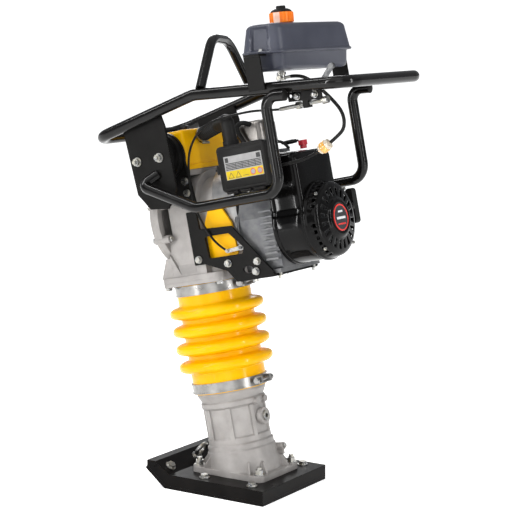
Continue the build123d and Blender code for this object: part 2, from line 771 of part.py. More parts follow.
# Corrugated intake hose from the yellow housing to the air cleaner.
with BuildPart() as intake_hose:
    bent_bar([at(-59, 18, 820), at(-206, 118, 834), at(-206, 118, 788)], [26], 17)
intake_hose.part.label = "intake_hose"
export_step(intake_hose.part, "parts/intake_hose.step")

# Muffler with its heat guard above the cylinder head.
with BuildPart() as muffler:
    block(level(768), -226, -150, -62, 16, 62, 16)
    disc(level(752), -205, -10, 16, 18)
    disc(side(-60), -196, 802, 10, 18)
muffler.part.label = "muffler"
export_step(muffler.part, "parts/muffler.step")

# Carburettor between the air cleaner and the head.
with BuildPart() as carburettor:
    block(side(84), -262, -206, 690, 738, 34, 5)
    disc(side(96), -234, 716, 17, 12)
    disc(level(664), -234, 68, 20, 26)
    block(side(94), -244, -232, 706, 718, 12)
    disc(front(-244), 90.5, 712, 3.5, -8)
carburettor.part.label = "carburettor"
export_step(carburettor.part, "parts/carburettor.step")

# Throttle arm at the side of the engine, where the cable ends.
with BuildPart() as throttle_arm:
    disc(side(91.5), -163, 540, 7, 3)
    slab(side(91.5), [(-165, 545), (-167, 535), (-122, 532), (-119, 540)], 3, 2)
    disc(side(92), -163, 540, 4 + running_gap, 4, mode=Mode.SUBTRACT)
    disc(side(95), -124, 537.5, 4, 4)
throttle_arm.part.label = "throttle_arm"
export_step(throttle_arm.part, "parts/throttle_arm.step")

# Choke lever hanging at the front of the carburettor.
with BuildPart() as choke_lever:
    disc(front(-205.7), 76, 702, 6, 4)
    block(front(-205.7), 73, 79, 656, 702, 4)
    disc(front(-207), 76, 656, 7, 7)
choke_lever.part.label = "choke_lever"
export_step(choke_lever.part, "parts/choke_lever.step")

# Spark plug with its cap and lead running to the shroud.
with BuildPart() as plug_lead:
    disc(level(752), -256, 30, 11, 22)
    bent_bar([at(-256, 30, 768), at(-282, 30, 768), at(-300, 24, 748)], [8], 4)
plug_lead.part.label = "plug_lead"
export_step(plug_lead.part, "parts/plug_lead.step")

# Red engine stop switch standing on the shroud.
with BuildPart() as stop_switch:
    disc(level(742.3), -322, -4, 8, 8)
    block(level(750), -330, -314, -14, 6, 12, 4)
stop_switch.part.label = "stop_switch"
export_step(stop_switch.part, "parts/stop_switch.step")

# ---- handle -------------------------------------------------------------------------
rear_u, rear_w = -567.0, 861.5
kink_u, kink_w = -161.7, 905.2
nose_u, nose_w = 140.0, 852.0


def rail_w(u):
    """Height of the side rail's centre line at u."""
    if u < kink_u:
        return rear_w + (u - rear_u) * (kink_w - rear_w) / (kink_u - rear_u)
    return kink_w + (u - kink_u) * (nose_w - kink_w) / (nose_u - kink_u)


split_u = -300.0

# Front half of the handle loop: both side rails with their bend, and the front bar.
with BuildPart() as handle_front:
    bent_bar(
        [
            at(split_u, rail_half, rail_w(split_u)),
            at(kink_u, rail_half, kink_w),
            at(nose_u, rail_half, nose_w),
            at(nose_u, -rail_half, nose_w),
            at(kink_u, -rail_half, kink_w),
            at(split_u, -rail_half, rail_w(split_u)),
        ],
        [60, 45, 45, 60],
        tube_radius,
        tube_radius - tube_wall,
    )
handle_front.part.label = "handle_front"
export_step(handle_front.part, "parts/handle_front.step")

# Rear half of the handle loop: side rails and the grip bar.
with BuildPart() as handle_rear:
    bent_bar(
        [
            at(split_u, rail_half, rail_w(split_u)),
            at(rear_u, rail_half, rear_w),
            at(rear_u, -rail_half, rear_w),
            at(split_u, -rail_half, rail_w(split_u)),
        ],
        [45, 45],
        tube_radius,
        tube_radius - tube_wall,
    )
handle_rear.part.label = "handle_rear"
export_step(handle_rear.part, "parts/handle_rear.step")


def hoop(s):
    """Guard hoop on one side: lapped under the rail, down, forward and in to the side plate."""
    lap = (tube_radius + hoop_radius + 0.2) * cos(radians(45))
    y = s * (rail_half + lap)
    bent_bar(
        [
            at(-418, y, rail_w(-418) - lap),
            at(-365, y, rail_w(-365) - lap),
            at(-363, y, 650),
            at(-127, y, 649),
            at(18, y, 722),
            at(-12, s * (plate_outer - 1), 742),
        ],
        [27, 38, 60, 15],
        hoop_radius,
        hoop_radius - tube_wall,
    )


with BuildPart() as hoop_left:
    hoop(1)
hoop_left.part.label = "hoop_left"
export_step(hoop_left.part, "parts/hoop_left.step")

with BuildPart() as hoop_right:
    hoop(-1)
hoop_right.part.label = "hoop_right"
export_step(hoop_right.part, "parts/hoop_right.step")

# Lifting arch, set slantwise from one side rail to the other.
with BuildPart() as lifting_arch:
    bent_bar(
        [
            at(-185, rail_half, rail_w(-185) + 12),
            at(-160, 52, 1036),
            at(-120, -72, 1036),
            at(-100, -rail_half, rail_w(-100) + 12),
        ],
        [85, 85],
        11.5,
        8.5,
    )
lifting_arch.part.label = "lifting_arch"
export_step(lifting_arch.part, "parts/lifting_arch.step")

plate_outline = [
    (66, rail_w(66)),
    (-48, rail_w(-48)),
    (-56, 850),
    (-59, 703),
    (-53, 690),
    (-26, 658),
    (25, 664),
    (55, 703),
]
plate_bolts_u = (39, -26)

# Side plates welded to the rails, each with a seat disc over its shock mount.
with BuildPart() as side_plates:
    for s in (1, -1):
        outer = side(s * plate_outer)
        slab(outer, plate_outline, s * plate_thickness)
        disc(side(s * (plate_outer - plate_thickness)), mount_u, mount_w, 54, s * 6)
        for u in plate_bolts_u:
            disc(outer, u, mount_w, 5.0, s * 14, mode=Mode.SUBTRACT)
side_plates.part.label = "side_plates"
export_step(side_plates.part, "parts/side_plates.step")

# Bolts through the side plates.
with BuildPart() as plate_bolts:
    for s in (1, -1):
        for u in plate_bolts_u:
            hex_bolt(side(s * plate_outer), u, mount_w, 16, 8, 11, 5.0, 11.7, sign=-s)
            disc(side(s * (plate_outer + 10)), u, mount_w, 5.0, -s * 6)
plate_bolts.part.label = "plate_bolts"
export_step(plate_bolts.part, "parts/plate_bolts.step")

# ---- fuel tank ----------------------------------------------------------------------
tilt = atan2(kink_w - rear_w, kink_u - rear_u)
tank = Plane(
    origin=at(-355, 0, 962),
    x_dir=direction(cos(tilt), 0, sin(tilt)),
    z_dir=direction(-sin(tilt), 0, cos(tilt)),
)
tank_end = Plane(origin=tank.from_local_coords((0, 168, 0)), x_dir=tank.x_dir, z_dir=(0, -1, 0))

# Moulded tank: deep tapered lid with a lip, recessed end panel, and a shallower body below.
with BuildPart() as fuel_tank:
    with BuildSketch(tank.offset(5)):
        RectangleRounded(110, 332, 30)
    extrude(amount=62, taper=8)
    fillet(fuel_tank.faces().sort_by(Axis(tank.origin, tank.z_dir))[-1].edges(), radius=10)
    with BuildSketch(tank):
        RectangleRounded(116, 340, 33)
    extrude(amount=6)
    with BuildSketch(tank):
        RectangleRounded(100, 312, 26)
    extrude(amount=-40, taper=3)
    block(tank_end, -20, 20, 12, 58, 8, 4, mode=Mode.SUBTRACT)
    disc(tank.offset(60), 0, 60, 17, 12)
fuel_tank.part.label = "fuel_tank"
export_step(fuel_tank.part, "parts/fuel_tank.step")

# Filler cap: ribbed ring, domed top and a small vent knob.
with BuildPart() as fuel_cap:
    disc(tank.offset(67.3), 0, 60, 28, 26)
    disc(tank.offset(66), 0, 60, 17 + running_gap, 14, mode=Mode.SUBTRACT)
    for k in range(24):
        with BuildSketch(tank.offset(67.3)):
            with Locations((0, 60)):
                with PolarLocations(28, 1, start_angle=15 * k):
                    Circle(1.6)
        extrude(amount=24)
    disc(tank.offset(93.3), 0, 60, 24, 7)
    disc(tank.offset(100.3), 0, 60, 11, 7)
fuel_cap.part.label = "fuel_cap"
export_step(fuel_cap.part, "parts/fuel_cap.step")

# Flat strips that carry the tank on the side rails.
with BuildPart() as tank_supports:
    for s in (1, -1):
        y = s * (rail_half + tube_radius + 4.5)
        slab(side(y), [(-369, 880), (-327, 882), (-327, 960.3), (-369, 955.7)], s * 4.5)
        strap = Plane(origin=tank.from_local_coords((0, y, -4.5)), x_dir=tank.x_dir, z_dir=tank.z_dir)
        block(strap, -14, 28, min(0, -s * 30), max(0, -s * 30), 4.4)
tank_supports.part.label = "tank_supports"
export_step(tank_supports.part, "parts/tank_supports.step")

# Fuel tap under the tank: threaded neck, body, and the hose nozzle pointing back.
tap_u, tap_y = -352.0, 84.0
with BuildPart() as fuel_tap:
    disc(level(900), tap_u, tap_y, 8, 21)
    disc(level(912), tap_u, tap_y, 11, 6)
    disc(front(tap_u), tap_y, 905, 3.5, -24)
    disc(side(tap_y), tap_u, 905, 6, -12)
fuel_tap.part.label = "fuel_tap"
export_step(fuel_tap.part, "parts/fuel_tap.step")

# Lever of the fuel tap.
with BuildPart() as fuel_tap_lever:
    disc(side(tap_y + 12.3), tap_u, 905, 6, -4)
    block(side(tap_y + 12.3), tap_u - 3.5, tap_u + 3.5, 880, 905, -4)
fuel_tap_lever.part.label = "fuel_tap_lever"
export_step(fuel_tap_lever.part, "parts/fuel_tap_lever.step")

# Throttle bracket under the left rail with its nuts and the threaded cable adjuster.
adjuster_w = 833.0
adjuster_y = 150.0
with BuildPart() as throttle_bracket:
    slab(side(plate_outer), [(-492, 836), (-405, 844), (-405, 872), (-492, 866)], 4)
    for u, w in ((-429, 853), (-475, 849)):
        with BuildSketch(side(plate_outer)) as nut:
            with Locations((u, w)):
                RegularPolygon(6.5, 6, major_radius=False)
        extrude(nut.sketch, amount=-6)
    disc(side(plate_outer + 1), -412, 856, 4, 8, mode=Mode.SUBTRACT)
    block(side(plate_outer), -455, -440, 824, 842, 16)
    disc(front(-500), adjuster_y, adjuster_w, 4, 126)
    with BuildSketch(front(-430)) as grip:
        with Locations((adjuster_y, adjuster_w)):
            RegularPolygon(8, 6, major_radius=False)
    extrude(grip.sketch, amount=10)
    disc(front(-502), adjuster_y, adjuster_w, 8, 14)
throttle_bracket.part.label = "throttle_bracket"
export_step(throttle_bracket.part, "parts/throttle_bracket.step")

# Throttle lever pivoted on the inner side of the bracket.
with BuildPart() as throttle_lever:
    disc(side(154.2), -478, 853, 9, 4)
    slab(side(154.2), [(-474, 846), (-470, 856), (-522, 908), (-532, 900)], 4, 3)
    disc(side(156), -526, 903, 6.5, 8)
throttle_lever.part.label = "throttle_lever"
export_step(throttle_lever.part, "parts/throttle_lever.step")

# ---- cable and hoses ----------------------------------------------------------------
cable_route = [
    at(-373.4, adjuster_y, adjuster_w),
    at(-345, 150, 836),
    at(-305, 149, 842),
    at(-256, 146, 843),
    at(-200, 142, 841),
    at(-156, 137, 834),
    at(-118, 128, 815),
    at(-88, 118, 788),
    at(-70, 110, 755),
    at(-62, 105.5, 708),
    at(-62, 104.2, 660),
    at(-72, 104, 620),
    at(-88, 103.5, 585),
    at(-103, 97, 556),
    at(-120.3, 93.6, 540.8),
]
cable_radii = cord_radii(cable_route)
print("throttle cable radii", [round(r, 1) for r in cable_radii])

# Throttle cable from the adjuster to the arm on the engine.
with BuildPart() as throttle_cable:
    bent_bar(cable_route, cable_radii, 2.75)
throttle_cable.part.label = "throttle_cable"
export_step(throttle_cable.part, "parts/throttle_cable.step")
print("cable volume over section", throttle_cable.part.volume / (pi * 2.75**2))

tank_hose = [
    at(tap_u - 24.5, tap_y, 905),
    at(-400, 85, 903),
    at(-428, 87, 887),
    at(-452, 89, 862),
    at(-478, 91, 833),
    at(-500, 93, 800),
    at(-499, 96, 766),
    at(-476, 98, 750),
    at(-458, 98.5, 741),
]
carb_hose = [
    at(-424, 100, 726),
    at(-402, 101, 719),
    at(-376, 98, 714),
    at(-348, 93, 712),
    at(-318, 91, 712),
    at(-286, 90.7, 711),
    at(-252.4, 90.5, 712),
]

# Fuel hoses: tank to filter, and filter to carburettor.
with BuildPart() as fuel_hose:
    for route in (tank_hose, carb_hose):
        hose_radii = cord_radii(route)
        print("fuel hose radii", [round(r, 1) for r in hose_radii])
        bent_bar(route, hose_radii, 4.0)
fuel_hose.part.label = "fuel_hose"
export_step(fuel_hose.part, "parts/fuel_hose.step")

# In-line fuel filter: clear cup between two end caps.
filter_top = at(-458, 98.5, 741)
filter_low = at(-424, 100, 726)
filter_length = (filter_low - filter_top).length
with BuildPart() as fuel_filter:
    barrel = Plane(origin=filter_top, z_dir=filter_low - filter_top)
    disc(barrel.offset(0.8), 0, 0, 4, filter_length - 1.6)
    disc(barrel.offset(4), 0, 0, 12, 8)
    disc(barrel.offset(12), 0, 0, 14, 14)
    disc(barrel.offset(26), 0, 0, 11, 7)
fuel_filter.part.label = "fuel_filter"
export_step(fuel_filter.part, "parts/fuel_filter.step")
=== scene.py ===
"""Tamping rammer (jumping jack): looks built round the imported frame, in the order it is put together."""

import math

import bmesh
import bpy
from mathutils import Matrix, Vector


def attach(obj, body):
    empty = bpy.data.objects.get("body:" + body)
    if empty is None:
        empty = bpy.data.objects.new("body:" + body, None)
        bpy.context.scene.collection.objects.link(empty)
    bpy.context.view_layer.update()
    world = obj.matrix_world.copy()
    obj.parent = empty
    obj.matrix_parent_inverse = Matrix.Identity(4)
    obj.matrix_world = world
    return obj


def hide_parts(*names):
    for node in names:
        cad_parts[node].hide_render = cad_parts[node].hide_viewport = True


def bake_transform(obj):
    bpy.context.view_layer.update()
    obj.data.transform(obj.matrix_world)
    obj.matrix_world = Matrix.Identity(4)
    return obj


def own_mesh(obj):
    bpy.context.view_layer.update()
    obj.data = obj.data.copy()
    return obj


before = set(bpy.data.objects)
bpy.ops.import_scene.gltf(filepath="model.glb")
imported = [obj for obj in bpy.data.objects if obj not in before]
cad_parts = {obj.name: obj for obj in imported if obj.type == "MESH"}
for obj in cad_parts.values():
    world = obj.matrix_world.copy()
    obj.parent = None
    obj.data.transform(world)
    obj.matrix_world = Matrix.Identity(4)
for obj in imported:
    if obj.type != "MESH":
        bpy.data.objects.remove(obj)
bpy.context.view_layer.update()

# ---- camera, floor and lights ---------------------------------------------------------
# A plain pale studio: one big floor with a raised rim, three very soft distant lights, and four
# soft boxes that draw the long highlights along the tubes. The sky looks white, but lights less.
view_forward = Vector((0.5401, -0.8285, -0.1480))
camera_data = bpy.data.cameras.new("camera")
camera_data.lens = 119.8
camera_data.sensor_width = 36.0
camera_data.clip_end = 6000.0
camera = bpy.data.objects.new("camera", camera_data)
camera.location = (-2.245, 3.3905, 1.1678)
camera.rotation_mode = "QUATERNION"
camera.rotation_quaternion = view_forward.to_track_quat("-Z", "Y")
scene = bpy.context.scene
scene.collection.objects.link(camera)
scene.camera = camera
scene.view_settings.view_transform = "Standard"


def colour(code):
    """An sRGB hex colour as the linear values that a socket takes."""
    parts = [int(code[i : i + 2], 16) / 255 for i in (1, 3, 5)]
    return tuple(p / 12.92 if p <= 0.04045 else ((p + 0.055) / 1.055) ** 2.4 for p in parts) + (1.0,)


def add(tree, kind, inputs=(), **settings):
    """Adds a node; inputs maps a socket's name or number to a value or to another node's output."""
    made = tree.nodes.new(kind)
    for key, value in settings.items():
        setattr(made, key, value)
    for key, value in dict(inputs).items():
        if isinstance(value, bpy.types.NodeSocket):
            tree.links.new(value, made.inputs[key])
        else:
            made.inputs[key].default_value = value
    return made


def material(name, base, roughness, metallic=0.0, **shader_values):
    """A material with its shader set and its Object coordinates; the caller adds the pattern."""
    made = bpy.data.materials.new(name)
    made.use_nodes = True
    tree = made.node_tree
    shader = tree.nodes["Principled BSDF"]
    shader.inputs["Base Color"].default_value = colour(base)
    shader.inputs["Roughness"].default_value = roughness
    shader.inputs["Metallic"].default_value = metallic
    for key, value in shader_values.items():
        shader.inputs[key.replace("_", " ")].default_value = value
    return made, tree, shader, add(tree, "ShaderNodeTexCoord").outputs["Object"]


def mottle(tree, shader, where, size_mm, tones, rough=None):
    """Slow change of tone, and of roughness if asked, over patches of size_mm."""
    patches = add(tree, "ShaderNodeTexNoise", {"Vector": where, "Scale": 1000 / size_mm, "Detail": 4.0})
    ramp = add(tree, "ShaderNodeValToRGB", {"Fac": patches.outputs["Fac"]})
    for stop, (place, tone) in zip(ramp.color_ramp.elements, ((0.32, tones[0]), (0.68, tones[1]))):
        stop.position = place
        stop.color = colour(tone)
    tree.links.new(ramp.outputs["Color"], shader.inputs["Base Color"])
    if rough:
        spread = add(
            tree,
            "ShaderNodeMapRange",
            {
                "Value": patches.outputs["Fac"],
                "From Min": 0.3,
                "From Max": 0.7,
                "To Min": rough[0],
                "To Max": rough[1],
            },
        )
        tree.links.new(spread.outputs["Result"], shader.inputs["Roughness"])


def grain(tree, shader, where, size_mm, depth_mm, edge_mm=0.0, detail=2.0):
    """Fine relief of size_mm, over edges eased by edge_mm."""
    bumps = add(tree, "ShaderNodeTexNoise", {"Vector": where, "Scale": 1000 / size_mm, "Detail": detail})
    relief = add(
        tree,
        "ShaderNodeBump",
        {"Height": bumps.outputs["Fac"], "Distance": depth_mm / 1000, "Strength": 1.0},
    )
    if edge_mm:
        eased = add(tree, "ShaderNodeBevel", {"Radius": edge_mm / 1000}, samples=4)
        tree.links.new(eased.outputs["Normal"], relief.inputs["Normal"])
    tree.links.new(relief.outputs["Normal"], shader.inputs["Normal"])


def patterned(name, base, roughness, patches, relief=None, **shader_values):
    """A material with mottle's and grain's values, for finishes that need nothing else."""
    made, tree, shader, where = material(name, base, roughness, **shader_values)
    mottle(tree, shader, where, *patches)
    if relief:
        grain(tree, shader, where, *relief)
    return made


def finish(made, *names):
    """Gives CAD nodes their material."""
    for name in names:
        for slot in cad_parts[name].material_slots:
            slot.material = made


floor_mesh = bpy.data.meshes.new("floor")
corners = [(-1, -1), (1, -1), (1, 1), (-1, 1)]
floor_mesh.from_pydata(
    [(1000 * a, 1000 * b, 0) for a, b in corners] + [(2500 * a, 2500 * b, 14) for a, b in corners],
    [],
    [(0, 1, 2, 3), (0, 4, 5, 1), (1, 5, 6, 2), (2, 6, 7, 3), (3, 7, 4, 0)],
)
floor = bpy.data.objects.new("floor", floor_mesh)
scene.collection.objects.link(floor)
floor_paint, _, shader, _ = material(
    "pale floor", "#F4F4F3", 0.9, Specular_IOR_Level=0.0, Emission_Strength=0.6
)
shader.inputs["Emission Color"].default_value = colour("#FFFFFF")
floor_mesh.materials.append(floor_paint)

world = bpy.data.worlds.new("studio")
world.use_nodes = True
world.node_tree.nodes["Background"].inputs["Color"].default_value = (0.93, 0.96, 1.0, 1.0)
seen = add(world.node_tree, "ShaderNodeLightPath").outputs["Is Camera Ray"]
glow = add(world.node_tree, "ShaderNodeMapRange", {"Value": seen, "To Min": 0.3, "To Max": 1.1})
world.node_tree.links.new(glow.outputs["Result"], world.node_tree.nodes["Background"].inputs["Strength"])
scene.world = world


def sun(name, strength, spread, azimuth, elevation):
    """A soft light from a compass direction, with the same strength everywhere."""
    data = bpy.data.lights.new(name, "SUN")
    data.energy = strength
    data.angle = math.radians(spread)
    lamp = bpy.data.objects.new(name, data)
    a, e = math.radians(azimuth), math.radians(elevation)
    toward = Vector((math.cos(a) * math.cos(e), math.sin(a) * math.cos(e), math.sin(e)))
    lamp.rotation_mode = "QUATERNION"
    lamp.rotation_quaternion = toward.to_track_quat("Z", "Y")
    scene.collection.objects.link(lamp)


def softbox(name, power, size, place, target):
    """A rectangular soft light aimed at a point."""
    data = bpy.data.lights.new(name, "AREA")
    data.shape = "RECTANGLE"
    data.size, data.size_y = size
    data.energy = power
    lamp = bpy.data.objects.new(name, data)
    lamp.location = place
    lamp.rotation_mode = "QUATERNION"
    lamp.rotation_quaternion = (Vector(place) - Vector(target)).to_track_quat("Z", "Y")
    scene.collection.objects.link(lamp)


sun("key", 0.74, 60, 90, 50)
sun("fill", 0.4, 90, 200, 70)
sun("front", 0.5, 34, 121, 13)
softbox("left strip", 42, (0.15, 2.6), (0.9, 2.6, 1.5), (0, 0, 0.7))
softbox("right strip", 30, (0.13, 2.6), (-2.7, 0.2, 1.3), (0, 0, 0.7))
softbox("rear rim", 24, (0.9, 1.6), (1.6, -2.2, 1.9), (0, 0, 0.7))
softbox("top strip", 34, (0.2, 2.6), (1.7, 0.75, 3.1), (0, 0, 0.8))

# ---- cords: throttle cable, fuel hoses, plug lead and starter rope ----------------------
# The throttle cable is a lined steel cable in a black vinyl jacket; the fuel hoses and the plug
# lead are extruded rubber. Each is one smooth line between its two fittings.
lean = math.radians(12.0)
leg = Matrix(
    (
        (math.cos(lean), 0, math.sin(lean), 0),
        (0, 1, 0, 0),
        (-math.sin(lean), 0, math.cos(lean), 0.036),
        (0, 0, 0, 1),
    )
)


def at(u, y, w):
    """A point of the leaning frame, given in millimetres: u forward, y left, w up the leg."""
    return leg @ (Vector((u, y, w)) / 1000)


def centre_line(points):
    """A smooth NURBS line with these control points, and the points along it."""
    data = bpy.data.curves.new("line", "CURVE")
    data.dimensions = "3D"
    data.resolution_u = 10
    spline = data.splines.new("NURBS")
    spline.points.add(len(points) - 1)
    for point, place in zip(spline.points, points):
        point.co = (*place, 1.0)
    spline.order_u = 3
    spline.use_endpoint_u = True
    line = bpy.data.objects.new("line", data)
    scene.collection.objects.link(line)
    bare = bpy.data.meshes.new_from_object(line.evaluated_get(bpy.context.evaluated_depsgraph_get()))
    path = [v.co.copy() for v in bare.vertices]
    return line, path


def piece(name, mesh, *materials):
    """A finished piece at the origin with smooth faces and crisp edges."""
    for made in materials:
        mesh.materials.append(made)
    mesh.shade_smooth()
    mesh.set_sharp_from_angle(angle=math.radians(38))
    mesh.name = name
    made = bpy.data.objects.new(name, mesh)
    scene.collection.objects.link(made)
    return made


def tube(name, points, radius, made, sides=4):
    """A round cord as a mesh tube along its NURBS line; also its path and length."""
    line, path = centre_line(points)
    line.data.bevel_depth = radius / 1000
    line.data.bevel_resolution = sides
    line.data.use_fill_caps = True
    bpy.context.view_layer.update()
    mesh = bpy.data.meshes.new_from_object(line.evaluated_get(bpy.context.evaluated_depsgraph_get()))
    bpy.data.objects.remove(line)
    length = sum((b - a).length for a, b in zip(path, path[1:]))
    return piece(name, mesh, made), path, length


# Extruded rubber: matt black with a faint bloom, drawn lines a few tenths of a millimetre apart.
hose_rubber = patterned(
    "extruded rubber hose",
    "#121110",
    0.5,
    (9, ("#0E0E0D", "#191817"), (0.42, 0.58)),
    (0.7, 0.04),
    Specular_IOR_Level=0.2,
)
# Vinyl cable jacket: smoother and glossier than rubber.
jacket = patterned(
    "vinyl cable jacket",
    "#0D0C0C",
    0.34,
    (14, ("#0A0A0A", "#131211"), (0.28, 0.4)),
    (1.1, 0.03),
    Specular_IOR_Level=0.16,
)
# Braided nylon starter rope: strands about two millimetres apart, with painted shade that is lighter on
# each strand's raised middle and darker towards the grooves between strands.
rope_braid, tree, shader, where = material("braided nylon rope", "#1A1918", 0.7, Sheen_Weight=0.3)
braid = add(tree, "ShaderNodeTexVoronoi", {"Vector": where, "Scale": 1000 / 1.6})
# Painted shade: this ramp darkens the colour towards the grooves that the bump below sinks between the
# strands.
groove_shade_ramp = add(tree, "ShaderNodeValToRGB", {"Fac": braid.outputs["Distance"]})
groove_shade_ramp.color_ramp.elements[0].color = colour("#2B2927")
groove_shade_ramp.color_ramp.elements[1].color = colour("#0D0C0C")
tree.links.new(groove_shade_ramp.outputs["Color"], shader.inputs["Base Color"])
lift = add(
    tree, "ShaderNodeBump", {"Height": braid.outputs["Distance"], "Distance": 0.0004, "Strength": 1.0}
)
lift.invert = True
tree.links.new(lift.outputs["Normal"], shader.inputs["Normal"])

cable_points = [
    at(-373.4, 150, 833),
    at(-345, 150, 836),
    at(-305, 149, 842),
    at(-256, 146, 843),
    at(-200, 142, 841),
    at(-156, 137, 834),
    at(-118, 128, 815),
    at(-88, 118, 788),
    at(-70, 110, 755),
    at(-62, 105.5, 708),
    at(-62, 104.2, 660),
    at(-72, 104, 620),
    at(-88, 103.5, 585),
    at(-103, 97, 556),
    at(-120.3, 93.6, 540.8),
]
cable, path, length = tube("throttle_cable_jacket", cable_points, 2.75, jacket)
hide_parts("throttle_cable")
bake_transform(cable)

tank_hose_points = [
    at(-376.5, 84, 905),
    at(-400, 85, 903),
    at(-428, 87, 887),
    at(-452, 89, 862),
    at(-478, 91, 833),
    at(-500, 93, 800),
    at(-499, 96, 766),
    at(-476, 98, 750),
    at(-458, 98.5, 741),
]
tank_hose, path, length = tube("tank_hose", tank_hose_points, 4.0, hose_rubber)
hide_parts("fuel_hose")
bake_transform(tank_hose)

carb_hose_points = [
    at(-424, 100, 726),
    at(-402, 101, 719),
    at(-376, 98, 714),
    at(-348, 93, 712),
    at(-318, 91, 712),
    at(-286, 90.7, 711),
    at(-252.4, 90.5, 712),
]
carb_hose, path, length = tube("carburettor_hose", carb_hose_points, 4.0, hose_rubber)
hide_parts("fuel_hose")
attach(carb_hose, "housing")

lead_points = [at(-256, 30, 768), at(-274, 30, 770), at(-291, 27, 763), at(-300, 24, 748)]
plug_wire, path, length = tube("plug_wire", lead_points, 3.5, hose_rubber)
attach(plug_wire, "housing")

rope_points = [at(-360, -61.5, 590), at(-360, -72, 590), at(-360, -86, 590), at(-360, -97.5, 590)]
rope, path, length = tube("starter_rope_braid", rope_points, 2.5, rope_braid)
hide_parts("starter_rope")
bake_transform(rope)

# ---- shoe -------------------------------------------------------------------------------
# Folded steel sole under a laminated board, both brushed with thick black enamel. The enamel
# pools a little on the flat and shows a soft sheen; the cut edges keep it thinner.
shoe_paint = patterned(
    "brushed-on black enamel",
    "#0C0B0A",
    0.34,
    (60, ("#090808", "#131110"), (0.26, 0.42)),
    (6.0, 0.12, 1.6),
    Specular_IOR_Level=0.05,
    Coat_Weight=0.02,
    Coat_Roughness=0.12,
)
finish(shoe_paint, "sole_plate", "shoe_board")

# Bright zinc on rolled and cut steel: pale blue-grey with a yellow cast in patches, fine
# forging grain, and eased edges.
zinc = patterned(
    "bright zinc plated steel",
    "#A3A39F",
    0.3,
    (9, ("#94969A", "#B4B0A4"), (0.24, 0.38)),
    (1.2, 0.012, 0.7),
    metallic=1.0,
)
finish(zinc, "shoe_bolts", "toe_eye_bolt", "foot_fasteners", "housing_bolts", "engine_bolts", "plate_bolts")

# ---- foot casting and bellows -----------------------------------------------------------
# Ductile iron foot, shot-blasted and sprayed silver: a fine sand texture about a millimetre
# across shows through the paint, and every cast edge is rounded.
silver = patterned(
    "silver sprayed casting",
    "#96928F",
    0.48,
    (45, ("#8C8885", "#A19D9A"), (0.42, 0.54)),
    (1.3, 0.06, 2.2, 3.0),
    metallic=0.3,
)
finish(silver, "foot_casting", "crankcase", "gear_cover", "guide_cylinder")

# Ground and honed steel inside: spring cylinder, piston, gears and shafts.
ground, tree, shader, where = material("ground steel", "#A9A9AB", 0.24, metallic=1.0)
lines = add(tree, "ShaderNodeMapping", {"Vector": where, "Scale": (90, 90, 2200)})
grain(tree, shader, lines.outputs["Vector"], 1000, 0.01, edge_mm=0.6)
mottle(tree, shader, where, 18, ("#98989B", "#B6B5B4"), rough=(0.18, 0.32))
finish(ground, "spring_cylinder", "drive_piston", "crank_gear", "clutch_drum", "crankshaft")

# Rolled stainless band of the two bellows clamps: smoother than the zinc, drawn round the leg.
band_steel, tree, shader, where = material("rolled stainless band", "#8E8C89", 0.26, metallic=1.0)
lines = add(tree, "ShaderNodeMapping", {"Vector": where, "Scale": (60, 60, 1500)})
grain(tree, shader, lines.outputs["Vector"], 1000, 0.0004)
mottle(tree, shader, where, 24, ("#8A8885", "#A3A19E"), rough=(0.26, 0.34))
finish(band_steel, "lower_clamp", "upper_clamp")


def shape_tree(name, **inputs):
    """A Geometry Nodes tree with named inputs; whole numbers make integer sockets."""
    tree = bpy.data.node_groups.new(name, "GeometryNodeTree")
    tree.is_modifier = True
    tree.interface.new_socket("Geometry", in_out="OUTPUT", socket_type="NodeSocketGeometry")
    for key, value in inputs.items():
        kind = "NodeSocketInt" if isinstance(value, int) else "NodeSocketFloat"
        socket = tree.interface.new_socket(key.replace("_", " "), in_out="INPUT", socket_type=kind)
        socket.default_value = value
    return tree, add(tree, "NodeGroupInput")


def grown(name, tree, geometry, made, placed=leg, source=None, **values):
    """Ends the tree in Realize Instances and Set Material, and returns its plain mesh as a piece."""
    real = add(tree, "GeometryNodeRealizeInstances", {"Geometry": geometry})
    dressed = add(tree, "GeometryNodeSetMaterial", {"Geometry": real.outputs[0], "Material": made})
    add(tree, "NodeGroupOutput", {"Geometry": dressed.outputs[0]})
    holder = bpy.data.objects.new("holder", source or bpy.data.meshes.new("holder"))
    scene.collection.objects.link(holder)
    maker = holder.modifiers.new("shape", "NODES")
    maker.node_group = tree
    for item in tree.interface.items_tree:
        if item.in_out == "INPUT" and item.name.replace(" ", "_") in values:
            maker[item.identifier] = values[item.name.replace(" ", "_")]
    bpy.context.view_layer.update()
    mesh = bpy.data.meshes.new_from_object(holder.evaluated_get(bpy.context.evaluated_depsgraph_get()))
    holder.modifiers.remove(maker)
    bpy.data.objects.remove(holder)
    mesh.transform(placed)
    return piece(name, mesh)


def math_chain(tree, start, *steps):
    """Applies one math step after another to a value: each step is (operation, other value)."""
    value = start
    for operation, other in steps:
        made = add(tree, "ShaderNodeMath", {0: value, 1: other}, operation=operation)
        value = made.outputs[0]
    return value


# Moulded polyurethane bellows: satin-gloss yellow, slightly translucent, darker in the folds.
urethane, tree, shader, where = material(
    "moulded yellow polyurethane",
    "#EAAE00",
    0.2,
    Specular_IOR_Level=0.12,
    Coat_Weight=0.1,
    Coat_Roughness=0.1,
    Subsurface_Weight=0.04,
)
shader.inputs["Subsurface Radius"].default_value = (0.004, 0.003, 0.0006)
mottle(tree, shader, where, 55, ("#E5A800", "#EFB402"), rough=(0.17, 0.24))
grain(tree, shader, where, 9.0, 0.03)

